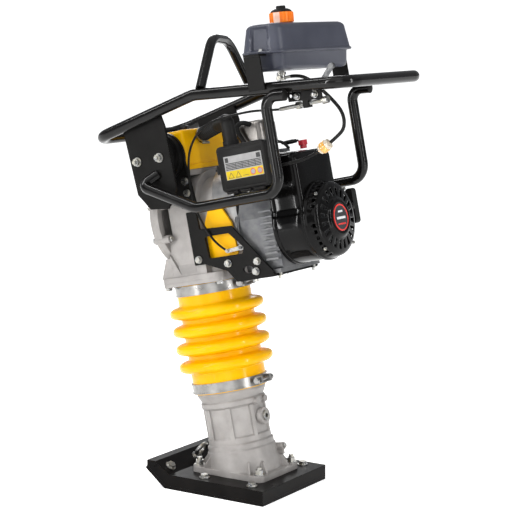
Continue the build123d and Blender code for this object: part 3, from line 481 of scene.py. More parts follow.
# The convolutions are equal: the wall swings out from the valley radius to each crest, with a
# rounded nose and a small fillet at its root.
tree, given = shape_tree(
    "bellows wall",
    Low=0.203,
    High=0.470,
    Valley=0.090,
    Crest=0.1155,
    Pitch=0.044,
    First_crest=0.2705,
    Half_height=0.0155,
    Rings=266,
    Segments=120,
)
wall = add(
    tree,
    "GeometryNodeMeshCylinder",
    {
        "Vertices": given.outputs["Segments"],
        "Side Segments": given.outputs["Rings"],
        "Radius": 1.0,
        "Depth": 1.0,
    },
    fill_type="NONE",
)
split = add(tree, "ShaderNodeSeparateXYZ", {0: add(tree, "GeometryNodeInputPosition").outputs[0]})
span = math_chain(tree, given.outputs["High"], ("SUBTRACT", given.outputs["Low"]))
height = math_chain(
    tree, split.outputs["Z"], ("ADD", 0.5), ("MULTIPLY", span), ("ADD", given.outputs["Low"])
)
past = math_chain(tree, height, ("SUBTRACT", given.outputs["First crest"]))
nearest = math_chain(
    tree, past, ("DIVIDE", given.outputs["Pitch"]), ("ROUND", 0.0), ("MAXIMUM", 0.0), ("MINIMUM", 3.0)
)
crest_place = math_chain(tree, nearest, ("MULTIPLY", given.outputs["Pitch"]))
off = math_chain(
    tree, past, ("SUBTRACT", crest_place), ("ABSOLUTE", 0.0), (
        "DIVIDE", given.outputs["Half height"]
    ), ("MINIMUM", 1.0)
)
fall = math_chain(tree, off, ("POWER", 2.5))
nose = math_chain(tree, 1.0, ("SUBTRACT", fall), ("POWER", 0.52))
swing = math_chain(tree, given.outputs["Crest"], ("SUBTRACT", given.outputs["Valley"]), ("MULTIPLY", nose))
radius = math_chain(tree, swing, ("ADD", given.outputs["Valley"]))
eased = add(tree, "GeometryNodeBlurAttribute", {"Value": radius, "Iterations": 3}, data_type="FLOAT")
place = add(
    tree,
    "ShaderNodeCombineXYZ",
    {
        "X": math_chain(tree, split.outputs["X"], ("MULTIPLY", eased.outputs[0])),
        "Y": math_chain(tree, split.outputs["Y"], ("MULTIPLY", eased.outputs[0])),
        "Z": height,
    },
)
moved = add(
    tree, "GeometryNodeSetPosition", {"Geometry": wall.outputs["Mesh"], "Position": place.outputs[0]}
)
bellows = grown("bellows_moulding", tree, moved.outputs[0], urethane, Rings=266)


def settle(made, **modifier):
    """Adds a finishing modifier and makes its result the piece's own mesh."""
    kind = modifier.pop("kind")
    step = made.modifiers.new(kind.lower(), kind)
    for key, value in modifier.items():
        setattr(step, key, value)
    bpy.context.view_layer.update()
    mesh = bpy.data.meshes.new_from_object(made.evaluated_get(bpy.context.evaluated_depsgraph_get()))
    made.modifiers.clear()
    made.data = mesh
    return made


settle(bellows, kind="SOLIDIFY", thickness=0.0035, offset=-1.0)
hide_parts("bellows")
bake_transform(bellows)

# Leg springs: shot-peened chrome-silicon wire, wound cold, dull dark grey.
spring_steel, tree, shader, where = material("peened spring steel", "#5E5F61", 0.42, metallic=1.0)
mottle(tree, shader, where, 12, ("#505153", "#6C6C6C"))
grain(tree, shader, where, 0.9, 0.03)
for name, low, high, anchor in (("lower_leg_spring", 40, 200, 34), ("upper_leg_spring", 286, 424, 430)):
    tree, given = shape_tree("coil", Turns=6.0, Coil_radius=0.0435, Wire=0.0055, Height=0.16)
    coil = add(
        tree,
        "GeometryNodeCurveSpiral",
        {
            "Resolution": 36,
            "Rotations": given.outputs["Turns"],
            "Start Radius": given.outputs["Coil radius"],
            "End Radius": given.outputs["Coil radius"],
            "Height": given.outputs["Height"],
        },
    )
    wire = add(
        tree, "GeometryNodeCurvePrimitiveCircle", {"Resolution": 12, "Radius": given.outputs["Wire"]}
    )
    wound = add(
        tree,
        "GeometryNodeCurveToMesh",
        {"Curve": coil.outputs[0], "Profile Curve": wire.outputs[0], "Fill Caps": True},
    )
    spring = grown(
        name,
        tree,
        wound.outputs[0],
        spring_steel,
        placed=leg @ Matrix.Translation((0, 0, low / 1000)),
        Height=(high - low) / 1000,
    )
    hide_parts("leg_springs")
    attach(spring, "foot")
    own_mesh(spring)

# ---- upper housing ----------------------------------------------------------------------
# Black yoke and engine carrier are laser-cut plate, powder-coated satin black, with the coating
# thinned along the cut edges.
plate_paint = patterned(
    "satin black powder coat on plate",
    "#0E0D0C",
    0.42,
    (30, ("#0B0A09", "#121110"), (0.36, 0.5)),
    (2.2, 0.05, 1.0),
    Specular_IOR_Level=0.12,
)
finish(plate_paint, "mount_brackets", "engine_bracket", "side_plates", "tank_supports")

# Bonded rubber shock mounts: matt black moulded rubber with a faint mould bloom.
mount_rubber = patterned(
    "moulded mount rubber",
    "#100F0E",
    0.62,
    (22, ("#0C0B0B", "#171615"), (0.55, 0.72)),
    (1.4, 0.06, 2.5),
    Specular_IOR_Level=0.16,
)
finish(mount_rubber, "shock_mounts")

# Clutch bell: pressure die casting left bright.
bright = patterned(
    "bright die casting",
    "#8F8F90",
    0.34,
    (26, ("#828284", "#A09F9D"), (0.28, 0.42)),
    (0.9, 0.04, 1.6),
    metallic=0.85,
)
finish(bright, "clutch_housing")

# Guard plate and intake housing: yellow powder coat with a light orange peel.
yellow = patterned(
    "yellow powder coat",
    "#F6B600",
    0.36,
    (70, ("#F0B000", "#F9BC02"), (0.3, 0.42)),
    (2.4, 0.05, 1.5),
    Specular_IOR_Level=0.14,
    Coat_Weight=0.06,
    Coat_Roughness=0.2,
)
finish(yellow, "clutch_guard")


def skin_mesh(name, verts, faces, merge=0.0):
    """A mesh from points and faces, with doubles merged if asked and its faces turned outwards."""
    mesh = bpy.data.meshes.new(name)
    mesh.from_pydata(verts, [], faces)
    work = bmesh.new()
    work.from_mesh(mesh)
    if merge:
        bmesh.ops.remove_doubles(work, verts=work.verts, dist=merge)
    bmesh.ops.recalc_face_normals(work, faces=work.faces)
    work.to_mesh(mesh)
    work.free()
    return mesh


def fit(part, body, stands_for=""):
    """Makes a piece ride on a body and, if asked, hides the CAD node that it stands for."""
    if stands_for:
        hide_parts(stands_for)
    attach(part, body)


def loft(name, loops, made, caps=True, wrap=False):
    """A skin over closed loops with the same number of points, cleaned and facing outwards."""
    count = len(loops[0])
    verts = [p for loop in loops for p in loop]
    faces = []
    rows = len(loops) if wrap else len(loops) - 1
    for i in range(rows):
        a, b = i * count, ((i + 1) % len(loops)) * count
        faces += [(a + k, a + (k + 1) % count, b + (k + 1) % count, b + k) for k in range(count)]
    if caps:
        faces += [tuple(range(count)), tuple(range((len(loops) - 1) * count, len(loops) * count))]
    return piece(name, skin_mesh(name, verts, faces, merge=1e-6), made)


def rounded(half_a, half_b, corner, per_corner=7, along=1):
    """Points round a rectangle with rounded corners, anticlockwise from the +a side."""
    corner = min(corner, half_a - 0.01, half_b - 0.01)
    points = []
    centres = ((1, 1, 0), (-1, 1, 90), (-1, -1, 180), (1, -1, 270))
    for n, (sa, sb, start) in enumerate(centres):
        for k in range(per_corner + 1):
            t = math.radians(start + 90 * k / per_corner)
            points.append(
                (
                    sa * (half_a - corner) + corner * math.cos(t),
                    sb * (half_b - corner) + corner * math.sin(t),
                )
            )
        ta, tb, ts = centres[(n + 1) % 4]
        end = (
            ta * (half_a - corner) + corner * math.cos(math.radians(ts)),
            tb * (half_b - corner) + corner * math.sin(math.radians(ts)),
        )
        first = points[-1]
        points += [
            (first[0] + (end[0] - first[0]) * k / along, first[1] + (end[1] - first[1]) * k / along)
            for k in range(1, along)
        ]
    return points


def eased_edge(height, drop, edge, steps=5):
    """(height, inset) pairs that round over an edge: from the side up to a face at height."""
    return [
        (
            height - drop * (edge - edge * math.sin(math.radians(90 * k / steps))),
            edge - edge * math.cos(math.radians(90 * k / steps)),
        )
        for k in range(steps + 1)
    ]


def place_loops(rows, to_world):
    """Turns (points, height) rows into loops of world points."""
    return [[to_world(a, b, h) for a, b in points] for points, h in rows]


def softened(corners, radius, steps=5):
    """Closed outline with every corner rounded off."""
    points = []
    for before, here, after in zip(corners[-1:] + corners[:-1], corners, corners[1:] + corners[:1]):
        here, ends = Vector(here), []
        for other in (before, after):
            ends.append(here + (Vector(other) - here).normalized() * radius)
        for k in range(steps + 1):
            t = k / steps
            points.append(tuple(ends[0] * (1 - t) ** 2 + here * 2 * t * (1 - t) + ends[1] * t**2))
    return points


# Intake housing: a moulded yellow cover that overhangs the yoke's cross bar in front, with soft
# edges all round and a thicker foot band bolted down to the crankcase.
rows = []
for y, i in [(-h, inset) for h, inset in reversed(eased_edge(85, 1, 9, 6))] + eased_edge(85, 1, 9, 6):
    corners = [
        (2 - i, 742),
        (-50 + i, 742),
        (-50 + i, 838 - i),
        (28, 838 - i),
        (54 - i, 817),
        (54 - i, 771 + i),
        (2 - i, 771 + i),
    ]
    rows.append([at(a, y, w) for a, w in softened(corners, 7)])
cover = loft("intake_cover", rows, yellow)
rows = [
    (rounded(28.5 - i, 86.5 - i, 9), w)
    for w, i in ((742, 0), (752, 0), (753.2, 0.4), (754, 1.5), (754.2, 3))
]
foot_band = loft("intake_foot_band", place_loops(rows, lambda a, b, h: at(-24 + a, b, h)), yellow)
for part in (cover, foot_band):
    fit(part, "housing", "intake_housing")

# ---- intake hose and air cleaner --------------------------------------------------------
# Blow-moulded rubber hose: close corrugations, then a plain cuff that pushes over the spigot of
# the air cleaner, held by a screw clip.
line, path = centre_line(
    [
        at(-50, 12, 819),
        at(-90, 39, 823),
        at(-140, 73, 828),
        at(-180, 100, 833),
        at(-206, 118, 837),
        at(-206, 118, 812),
        at(-206, 118, 786),
    ]
)
bpy.data.objects.remove(line)
spine = bpy.data.meshes.new("hose spine")
spine.from_pydata(path, [(k, k + 1) for k in range(len(path) - 1)], [])
tree, given = shape_tree(
    "corrugated hose", Mean=0.0156, Swing=0.0019, Folds=12.0, Cuff_from=0.55, Steps=420
)
tree.interface.new_socket("Spine", in_out="INPUT", socket_type="NodeSocketGeometry")
tree.interface.move(tree.interface.items_tree["Spine"], 0)
even = add(
    tree,
    "GeometryNodeResampleCurve",
    {
        "Curve": add(tree, "GeometryNodeMeshToCurve", {0: given.outputs["Spine"]}).outputs[0],
        "Count": given.outputs["Steps"],
    },
)
share = add(tree, "GeometryNodeSplineParameter").outputs["Factor"]
turns = math_chain(
    tree,
    given.outputs["Folds"],
    ("MULTIPLY", 6.28318),
    ("MULTIPLY", share),
    ("DIVIDE", given.outputs["Cuff from"]),
)
wave = math_chain(tree, turns, ("SINE", 0.0), ("MULTIPLY", given.outputs["Swing"]))
ribbed = math_chain(tree, share, ("LESS_THAN", given.outputs["Cuff from"]))
width = math_chain(tree, wave, ("MULTIPLY", ribbed), ("ADD", given.outputs["Mean"]))
ring = add(tree, "GeometryNodeCurvePrimitiveCircle", {"Resolution": 36, "Radius": 1.0})
skin = add(
    tree,
    "GeometryNodeCurveToMesh",
    {"Curve": even.outputs[0], "Profile Curve": ring.outputs[0], "Fill Caps": True, "Scale": width},
)
hose = grown(
    "intake_hose_moulding",
    tree,
    skin.outputs[0],
    hose_rubber,
    placed=Matrix.Identity(4),
    source=spine,
    Folds=12.0,
)
fit(hose, "housing", "intake_hose")


def turned(name, profile, to_world, made, sides=64):
    """A lathe-turned solid: profile is (radius, height) from one end of the axis to the other."""
    rays = [
        (math.cos(math.radians(360.0 * k / sides)), math.sin(math.radians(360.0 * k / sides)))
        for k in range(sides)
    ]
    return loft(
        name,
        [[to_world(max(r, 0.001) * c, max(r, 0.001) * s, h) for c, s in rays] for r, h in profile],
        made,
    )


# Screw clip round the hose where it meets the yellow cover.
clip_axis = (at(-206, 118, 834) - at(-59, 18, 820)).normalized()
clip_side = clip_axis.cross(Vector((0, 0, 1))).normalized()
clip_up = clip_axis.cross(clip_side)
clip_at = at(-68, 24, 820.8)


def on_clip(a, b, h):
    return clip_at + (clip_side * a + clip_up * b + clip_axis * h) / 1000


clip = turned(
    "hose_clip", [(16.4, -4.5), (18.2, -4.5), (18.2, 4.5), (16.4, 4.5), (16.4, -4.5)], on_clip, zinc
)
clip_screw = turned(
    "hose_clip_screw",
    [(0, -9), (3.4, -9), (3.4, 9), (0, 9)],
    lambda a, b, h: on_clip(h - 4, 20.5 + a, b),
    zinc,
    12,
)
for part in (clip, clip_screw):
    fit(part, "housing")

# Air cleaner case and lid: injection-moulded black plastic with a spark-eroded texture.
abs_black = patterned(
    "textured black moulding",
    "#131212",
    0.48,
    (40, ("#0F0E0E", "#171615"), (0.42, 0.55)),
    (0.9, 0.05, 1.5),
    Specular_IOR_Level=0.18,
)
finish(abs_black, "air_cleaner_box", "carburettor", "cleaner_latch")
finish(zinc, "throttle_arm", "choke_lever")
finish(spring_steel, "throttle_lever")


def on_lid(a, b, y):
    return at(-248.5 + a, y, 724 + b)


rows = [(rounded(65.0, 51.5, 9, 6), 140.3), (rounded(66.0, 52.5, 10, 6), 141.2)]
rows += [
    (rounded(66.5 - inset, 53 - inset, 10 - inset * 0.6, 6), h) for h, inset in eased_edge(152, 1, 4.0)
]
rows += [(rounded(60, 46.5, 6, 6), 152), (rounded(59, 45.5, 5, 6), 151.2)]
rows += [(rounded(57.5, 44, 5, 6), 151.2), (rounded(56.5, 43, 5, 6), 151.8)]
lid = loft("cleaner_lid_moulding", place_loops(rows, on_lid), abs_black)
fit(lid, "cleaner_lid", "cleaner_cover")
for name, u in (("lid_hinge_rear", -300), ("lid_hinge_front", -226)):
    barrel = turned(
        name,
        [(0, 0), (2.6, 0), (3, 0.5), (3, 29.5), (2.6, 30), (0, 30)],
        lambda a, b, h, u=u: at(u + h, 152 + a, 669 + b),
        abs_black,
        24,
    )
    fit(barrel, "cleaner_lid", "cleaner_cover")

# Printed film label: plain grey rows above a yellow band with generic warning shapes.
film_grey = patterned("printed film, light grey", "#908F8F", 0.4, (15, ("#8A8989", "#979695")))
film_dark = patterned("printed film, black ink", "#161616", 0.35, (8, ("#121212", "#1E1E1E")))
film_yellow = patterned(
    "printed film, yellow ink", "#C8AC00", 0.4, (15, ("#C2A600", "#CEB206")), Specular_IOR_Level=0.25
)
film_red = patterned("printed film, red ink", "#C8453A", 0.35, (8, ("#BF3C33", "#D04F44")))
label_shapes = [
    ("label_film", film_grey, 0.0, [[(-52, 0), (52, 0), (52, 54), (-52, 54)]]),
    (
        "label_rows",
        film_dark,
        0.1,
        [[(-49, w), (49, w), (49, w + 2), (-49, w + 2)] for w in (22.4, 25.8, 29.2, 32.6, 36)]
        + [[(-49, 40), (-40, 40), (-40, 51), (-49, 51)], [(38, 40), (49, 40), (49, 51), (38, 51)]]
        + [[(-22 + k, 22), (-21 + k, 22), (-21 + k, 37), (-22 + k, 37)] for k in (0, 18, 36, 54)],
    ),
    ("label_band", film_yellow, 0.1, [[(-51, 1), (51, 1), (51, 20), (-51, 20)]]),
    (
        "label_triangles",
        film_dark,
        0.2,
        [[(c - 8, 3), (c + 8, 3), (c, 17.5)] for c in (-38, -18)] + [[(-6, 5), (10, 5), (10, 6), (-6, 6)]],
    ),
    ("label_triangle_fill", film_yellow, 0.3, [[(c - 6, 4.2), (c + 6, 4.2), (c, 15)] for c in (-38, -18)]),
    (
        "label_rings",
        film_red,
        0.2,
        [
            [(c + 7.5 * math.cos(t * 0.3927), 10.5 + 7.5 * math.sin(t * 0.3927)) for t in range(16)]
            for c in (23, 42)
        ],
    ),
    (
        "label_ring_fill",
        film_grey,
        0.3,
        [
            [(c + 5.4 * math.cos(t * 0.3927), 10.5 + 5.4 * math.sin(t * 0.3927)) for t in range(16)]
            for c in (23, 42)
        ],
    ),
]
for name, ink, rise, outlines in label_shapes:
    verts, faces = [], []
    for outline in outlines:
        for y in (151.6 + rise, 152.0 + rise):
            verts += [on_lid(-4 - a, b - 27 + 1, y) for a, b in outline]
        n = len(outline)
        base = len(verts) - 2 * n
        faces += [tuple(base + k for k in range(n)), tuple(base + n + k for k in range(n))]
        faces += [(base + k, base + (k + 1) % n, base + n + (k + 1) % n, base + n + k) for k in range(n)]
    film = piece(name, skin_mesh(name, verts, faces), ink)
    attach(film, "cleaner_lid")

# ---- engine -----------------------------------------------------------------------------
# Shot-blasted die-cast engine case and finned head, darker and duller than the drive housing.
engine_alu = patterned(
    "shot-blasted engine casting",
    "#6B6C6E",
    0.46,
    (20, ("#5E5F62", "#797979"), (0.4, 0.54)),
    (1.0, 0.06, 1.6),
    metallic=0.6,
)
finish(engine_alu, "engine_block", "engine_head", "recoil_pulley")

# Fan shroud and recoil cover: pressed and moulded parts in deep gloss black.
gloss = patterned(
    "deep gloss black",
    "#070706",
    0.13,
    (90, ("#050505", "#0A0909"), (0.1, 0.16)),
    (16, 0.05),
    Specular_IOR_Level=0.1,
    Coat_Weight=0.12,
    Coat_Roughness=0.04,
)


shaft_height = 570  # the crankshaft's centre, up the leg


def shroud_distance(y, w, inset):
    """Distance outside the shroud's outline: a circle round the crankshaft under a square top."""
    circle = math.hypot(y, w - shaft_height) - (94 - inset)
    corner = 16
    dy = abs(y) - (86 - inset - corner)
    dw = abs(w - 656) - (86 - inset - corner)
    square = math.hypot(max(dy, 0), max(dw, 0)) + min(max(dy, dw), 0) - corner
    return min(circle, square)


shroud_angles = sorted(
    [2 * math.pi * k / 150 for k in range(150)]
    + [math.atan2(172 - 18 + 18 * k / 12, s * (86 - 9)) for k in range(13) for s in (1, -1)]
    + [math.atan2(172 - 9, s * (86 - 18 + 18 * k / 12)) for k in range(13) for s in (1, -1)]
)
shroud_angles = [a for a, b in zip(shroud_angles, shroud_angles[1:] + [9.9]) if b - a > 1e-4]


def shroud_loop(u, inset):
    """A loop of the shroud's outline at u, drawn in by inset."""
    loop = []
    for t in shroud_angles:
        low, high = 0.0, 260.0
        for _ in range(30):
            mid = (low + high) / 2
            if shroud_distance(mid * math.cos(t), shaft_height + mid * math.sin(t), inset) < 0:
                low = mid
            else:
                high = mid
        loop.append(at(u, low * math.cos(t), shaft_height + low * math.sin(t)))
    return loop


def shroud_ring(u, r):
    """A circle round the crankshaft with the shroud's own angles."""
    return [at(u, r * math.cos(t), shaft_height + r * math.sin(t)) for t in shroud_angles]


loops = [
    shroud_loop(u, inset)
    for u, inset in ((-262, 2.5), (-262, 0.8), (-262.8, 0), (-271, 0), (-272.5, 0.8), (-273, 2.6))
]
loops += [
    shroud_loop(u, inset)
    for u, inset in (
        (-275, 3.0), (-300, 3.2), (-326, 3.6), (-335, 4.6), (-341, 7), (-344.6, 11), (-346, 16)
    )
]
loops += [shroud_ring(u, r) for u, r in ((-346, 93 - 14), (-345, 78), (-341, 78))]
loops += [shroud_loop(u, inset) for u, inset in ((-340, 18), (-330, 9), (-262, 8))]
shroud = loft("fan_shroud_pressing", loops, gloss, caps=False, wrap=True)
fit(shroud, "housing", "fan_shroud")

# Rolled bead where the recoil cover meets the shroud.
bead = [
    (89 + 5 * math.cos(math.radians(a)), -345 - 4.5 * math.sin(math.radians(a))) for a in range(0, 361, 20)
]
rim = turned("shroud_bead", bead, lambda a, b, h: at(h, a, shaft_height + b), gloss, 120)
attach(rim, "housing")

# Recoil cover: stepped dome with louvres round its side, radial slots round the hub, and a
# shallow dished hub that carries the badge.
cover_sides = 180
profile = [
    (93.6, -346),
    (94, -348),
    (94, -351),
    (93, -352.6),
    (91.5, -354),
    (90.5, -356),
    (88.5, -366),
    (86.5, -374),
    (84, -377.5),
    (80, -380),
    (74, -382),
    (71, -382.8),
    (52, -385),
    (49, -385.6),
    (46, -387.6),
    (43.5, -390.4),
    (40, -391.8),
    (35, -392),
    (33, -391.4),
    (32, -390.8),
    (0.01, -390.8),
]
verts, faces = [], []
turns = [2 * math.pi * k / cover_sides for k in range(cover_sides)]
for r, u in profile:
    verts += [at(u, r * math.cos(t), shaft_height + r * math.sin(t)) for t in turns]
for i in range(len(profile) - 1):
    for k in range(cover_sides):
        in_slot = i == 11 and k % 9 in (3, 4, 5, 6)
        in_louvre = i == 6 and k % 5 in (1, 2, 3) and k % 45 > 9
        if not (in_slot or in_louvre):
            j = (k + 1) % cover_sides
            faces.append(
                (
                    i * cover_sides + k,
                    i * cover_sides + j,
                    (i + 1) * cover_sides + j,
                    (i + 1) * cover_sides + k,
                )
            )
recoil = piece("recoil_cover_moulding", skin_mesh("recoil_cover_moulding", verts, faces, merge=1e-5), gloss)
settle(recoil, kind="SOLIDIFY", thickness=0.0026, offset=-1.0)
fit(recoil, "housing", "recoil_cover")

# Printed metal badge on the hub: a red ring round a dark field with plain bars.
badge_dark = patterned("badge, dark field", "#26262A", 0.3, (10, ("#202024", "#2E2E32")), Coat_Weight=0.4)
badge_red = patterned("badge, red ring", "#D92A22", 0.3, (10, ("#D0251E", "#E03028")), Coat_Weight=0.4)
badge_white = patterned("badge, silver print", "#D8D8DA", 0.3, (6, ("#CCCCCE", "#E2E2E4")))


def on_hub(a, b, h):
    return at(-390.9 - h, a, shaft_height + b)


badge_parts = [
    turned("badge_field", [(0, 0), (29, 0), (29, 0.9), (0, 0.9)], on_hub, badge_dark),
    turned(
        "badge_ring",
        [(28, 0), (31.4, 0), (31.4, 1.2), (30.9, 1.6), (28.5, 1.6), (28, 1.2), (28, 0)],
        on_hub,
        badge_red,
    ),
]
for name, w, half, thick, ink in (
    ("badge_bar_top", 14, 10, 4.5, badge_white),
    ("badge_bar_middle", -1, 19, 5.5, badge_white),
    ("badge_bar_low", -15, 17, 3.5, badge_red),
):
    rows = [(rounded(half, thick / 2, 0.8, 3), 0.6), (rounded(half, thick / 2, 0.8, 3), 1.3)]
    badge_parts.append(
        loft(name, place_loops([([(a, b + w) for a, b in points], h) for points, h in rows], on_hub), ink)
    )
for part in badge_parts:
    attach(part, "housing")

# Muffler under its heat guard: satin stainless sheet pressed to a soft-cornered box.
guard_steel, tree, shader, where = material("satin stainless heat guard", "#8B8783", 0.36, metallic=1.0)
lines = add(tree, "ShaderNodeMapping", {"Vector": where, "Scale": (1400, 60, 60)})
grain(tree, shader, lines.outputs["Vector"], 1000, 0.012)
mottle(tree, shader, where, 35, ("#76726E", "#9F9B97"), rough=(0.3, 0.44))
rows = []
for h, inset in [(0, 5), (0.6, 2.5), (3, 0.5), (8, 0)] + eased_edge(61.5, 1, 14, 7):
    rows.append((rounded(38 - inset, 39 - inset, 16 - inset * 0.8, 6), h))
guard = loft(
    "muffler_guard", place_loops(rows, lambda a, b, h: at(-188 + a, -23 + b, 768 + h)), guard_steel
)
fit(guard, "housing", "muffler")

# Breather pipe that loops from the head over the front of the guard.
breather_points = [
    at(-192, 30, 764),
    at(-178, 30, 790),
    at(-168, 30, 812),
    at(-170, 28, 824),
    at(-186, 22, 829),
    at(-198, 12, 820),
]
breather, _, _ = tube("breather_pipe", breather_points, 6, hose_rubber, 6)
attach(breather, "housing")

# Spark plug boot and the red stop switch.
boot = turned(
    "plug_boot",
    [(0, 752), (9, 752), (10.5, 754), (10.5, 764), (8, 770), (6.5, 774), (0, 774)],
    lambda a, b, h: at(-256 + a, 30 + b, h),
    hose_rubber,
    32,
)
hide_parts("plug_lead")
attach(boot, "housing")
red = patterned("red moulded plastic", "#A51928", 0.35, (12, ("#9C1624", "#B01E2E")), (1.0, 0.03, 1.0))
finish(red, "stop_switch")
wire_points = [at(-273, -2, 763), at(-262, -2, 767), at(-248, 0, 781), at(-233, 4, 774), at(-232, 8, 750)]
wire, path, length = tube("switch_wire", wire_points, 1.8, jacket)
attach(wire, "housing")
for name, y in (("wire_connector_left", 6), ("wire_connector_right", -8)):
    shell = turned(
        name,
        [
            (0, -308),
            (2.4, -308),
            (2.6, -303),
            (4.6, -302),
            (4.9, -290),
            (4.6, -278),
            (2.8, -276),
            (2.4, -271),
            (0, -271),
        ],
        lambda a, b, h, y=y: at(h, y + a, 757 + b - h * 0.02),
        hose_rubber,
        24,
    )
    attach(shell, "housing")

# In-line fuel filter: clear nylon cup tinted amber by the paper inside.
cup = patterned(
    "clear amber filter cup",
    "#FFC25A",
    0.12,
    (5, ("#F9B040", "#FFD488")),
    Transmission_Weight=0.35,
    IOR=1.5,
)
cap_clear = patterned(
    "clear filter end cap", "#E6DCC8", 0.15, (5, ("#D9CCB4", "#F0E8D8")), Transmission_Weight=0.3, IOR=1.5
)
filter_top, filter_low = at(-458, 98.5, 741), at(-424, 100, 726)
filter_axis = (filter_low - filter_top).normalized()
filter_side = filter_axis.cross(Vector((0, 0, 1))).normalized()
filter_up = filter_axis.cross(filter_side)


def on_filter(a, b, h):
    return filter_top + (filter_side * a + filter_up * b + filter_axis * h) / 1000


filter_parts = [
    ("filter_inlet", cap_clear, [(0, 0.8), (3.6, 0.8), (3.6, 4), (11, 4), (12, 5), (12, 12), (0, 12)]),
    ("filter_cup", cup, [(0, 12), (12.4, 12), (13.6, 13), (13.6, 25), (12.8, 26), (0, 26)]),
    (
        "filter_outlet",
        cap_clear,
        [(0, 26), (11, 26), (11, 31), (9.5, 33), (4, 33.6), (3.6, 36.4), (0, 36.4)],
    ),
]
for name, made, profile in filter_parts:
    part = turned(name, profile, on_filter, made, 40)
    fit(part, "housing", "fuel_filter")
finish(hose_rubber, "recoil_grip")

# ---- handle frame -----------------------------------------------------------------------
# Bent steel tube, welded and powder-coated gloss black with a fine orange peel.
tube_paint = patterned(
    "gloss black powder coat on tube",
    "#0A0908",
    0.16,
    (50, ("#080707", "#0F0E0D"), (0.13, 0.2)),
    (3.0, 0.012),
    Specular_IOR_Level=0.2,
    Coat_Weight=0.15,
    Coat_Roughness=0.06,
)
finish(tube_paint, "handle_front", "handle_rear", "hoop_left", "hoop_right", "lifting_arch")
finish(zinc, "fuel_tap", "fuel_tap_lever")
finish(plate_paint, "throttle_bracket")

# Plastic plugs in the lapped ends of the two hoops.
for name, s in (("hoop_plug_left", 1), ("hoop_plug_right", -1)):
    plug = turned(
        name,
        [(0, -4), (10, -4), (10, 0), (12.2, 0), (12.2, 0.8), (10.5, 1.8), (0, 2.2)],
        lambda a, b, h, s=s: at(-418 - h * 0.994 + b * 0.107, s * 190.5 + a, 859.0 - h * 0.107 - b * 0.994),
        abs_black,
        40,
    )
    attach(plug, "handle")

# Throttle bracket hardware: two zinc dome nuts and the threaded steel adjuster with its nuts.
for name, u, w in (("dome_nut_front", -429, 853), ("dome_nut_rear", -475, 849)):
    nut = turned(
        name,
        [(0, 0), (8.5, 0), (8.5, 1.6), (7, 1.8), (7, 6), (6.2, 8.4), (4.4, 10), (2, 10.8), (0, 11)],
        lambda a, b, h, u=u, w=w: at(u + a, 158.5 + h, w + b),
        zinc,
        32,
    )
    fit(nut, "handle")


def on_adjuster(a, b, h):
    return at(h, 150 + a, 833 + b)


thread_pitch = 1.5
threads = [(r, -500 + thread_pitch * k + d) for k in range(83) for r, d in ((4.3, 0.2), (4.8, 0.75))]
sleeve_line = [(0, -500.4), (4.3, -500.4)] + threads + [(4.3, -374.3), (0, -374.3)]
sleeve = turned("adjuster_sleeve", sleeve_line, on_adjuster, zinc, 28)
fit(sleeve, "handle")
for name, r, low, high, sides in (
    ("adjuster_nut", 9.3, -430.5, -419.5, 6),
    ("adjuster_barrel", 8.3, -502.4, -487.6, 32),
):
    profile = [(0, low), (r - 0.9, low), (r, low + 0.8), (r, high - 0.8), (r - 0.9, high), (0, high)]
    fit(turned(name, profile, on_adjuster, zinc, sides), "handle")

# ---- fuel tank --------------------------------------------------------------------------
# Roto-moulded polyethylene tank in slate grey: soft edges everywhere, a waxy satin skin with a
# fine mould texture, a lip where lid and body meet, and a recessed panel at each end.
slate, tree, shader, where = material(
    "roto-moulded slate polyethylene",
    "#3C3E49",
    0.34,
    Specular_IOR_Level=0.35,
    Subsurface_Weight=0.04,
    Coat_Weight=0.05,
    Coat_Roughness=0.25,
)
shader.inputs["Subsurface Radius"].default_value = (0.002, 0.002, 0.003)
mottle(tree, shader, where, 80, ("#383A45", "#42444F"), rough=(0.3, 0.4))
grain(tree, shader, where, 1.8, 0.04)
tilt = math.atan2(905.2 - 861.5, -161.7 + 567.0)


def on_tank(a, y, h):
    """A point of the tank, in millimetres: a forward along the rails, y left, h up from its lip."""
    return at(
        -355 + a * math.cos(tilt) - h * math.sin(tilt), y, 962 + a * math.sin(tilt) + h * math.cos(tilt)
    )


def smooth(x):
    x = min(max(x, 0.0), 1.0)
    return x * x * (3 - 2 * x)


def tank_row(half_a, half_y, corner, h):
    """One level of the tank, dished in at the end panels."""
    points = []
    for a, y in rounded(half_a, half_y, corner, 9, 24):
        across = smooth((23 - abs(a)) / 5)
        up = smooth((h - 5.5) / 3) * smooth((61 - h) / 6)
        if abs(y) > half_y - 1:
            y -= math.copysign(7.5 * across * up, y)
        points.append((a, y))
    return points, h


rows = [
    tank_row(50 - i, 156 - i, 26 - i * 0.5, h)
    for h, i in ((-40, 14), (-39.4, 9.5), (-37, 5.5), (-33, 3.2), (-28, 2.2), (-2.5, 0.5), (-1.2, 0))
]
rows += [
    tank_row(a, y, c, h)
    for a, y, c, h in (
        (55, 167, 31, -0.6),
        (57, 169, 32.5, 0),
        (58, 170, 33, 1.4),
        (58, 170, 33, 4.2),
        (57, 169, 32, 5.4),
        (55.6, 167, 31, 6),
    )
]
for k in range(1, 23):
    h = 6 + 46 * k / 22
    drawn = (h - 6) * math.tan(math.radians(8))
    rows.append(tank_row(55 - drawn, 166 - drawn, 30, h))
for k in range(1, 9):
    t = math.radians(90 * k / 8)
    drawn = 46 * math.tan(math.radians(8)) + 2.0 * k / 8
    rows.append(
        tank_row(
            55 - drawn - 15 + 15 * math.cos(t),
            166 - drawn - 15 + 15 * math.cos(t),
            30 - 9 * k / 8,
            52 + 15 * math.sin(t),
        )
    )
last_a, last_y = 55 - 46 * math.tan(math.radians(8)) - 17, 166 - 46 * math.tan(math.radians(8)) - 17
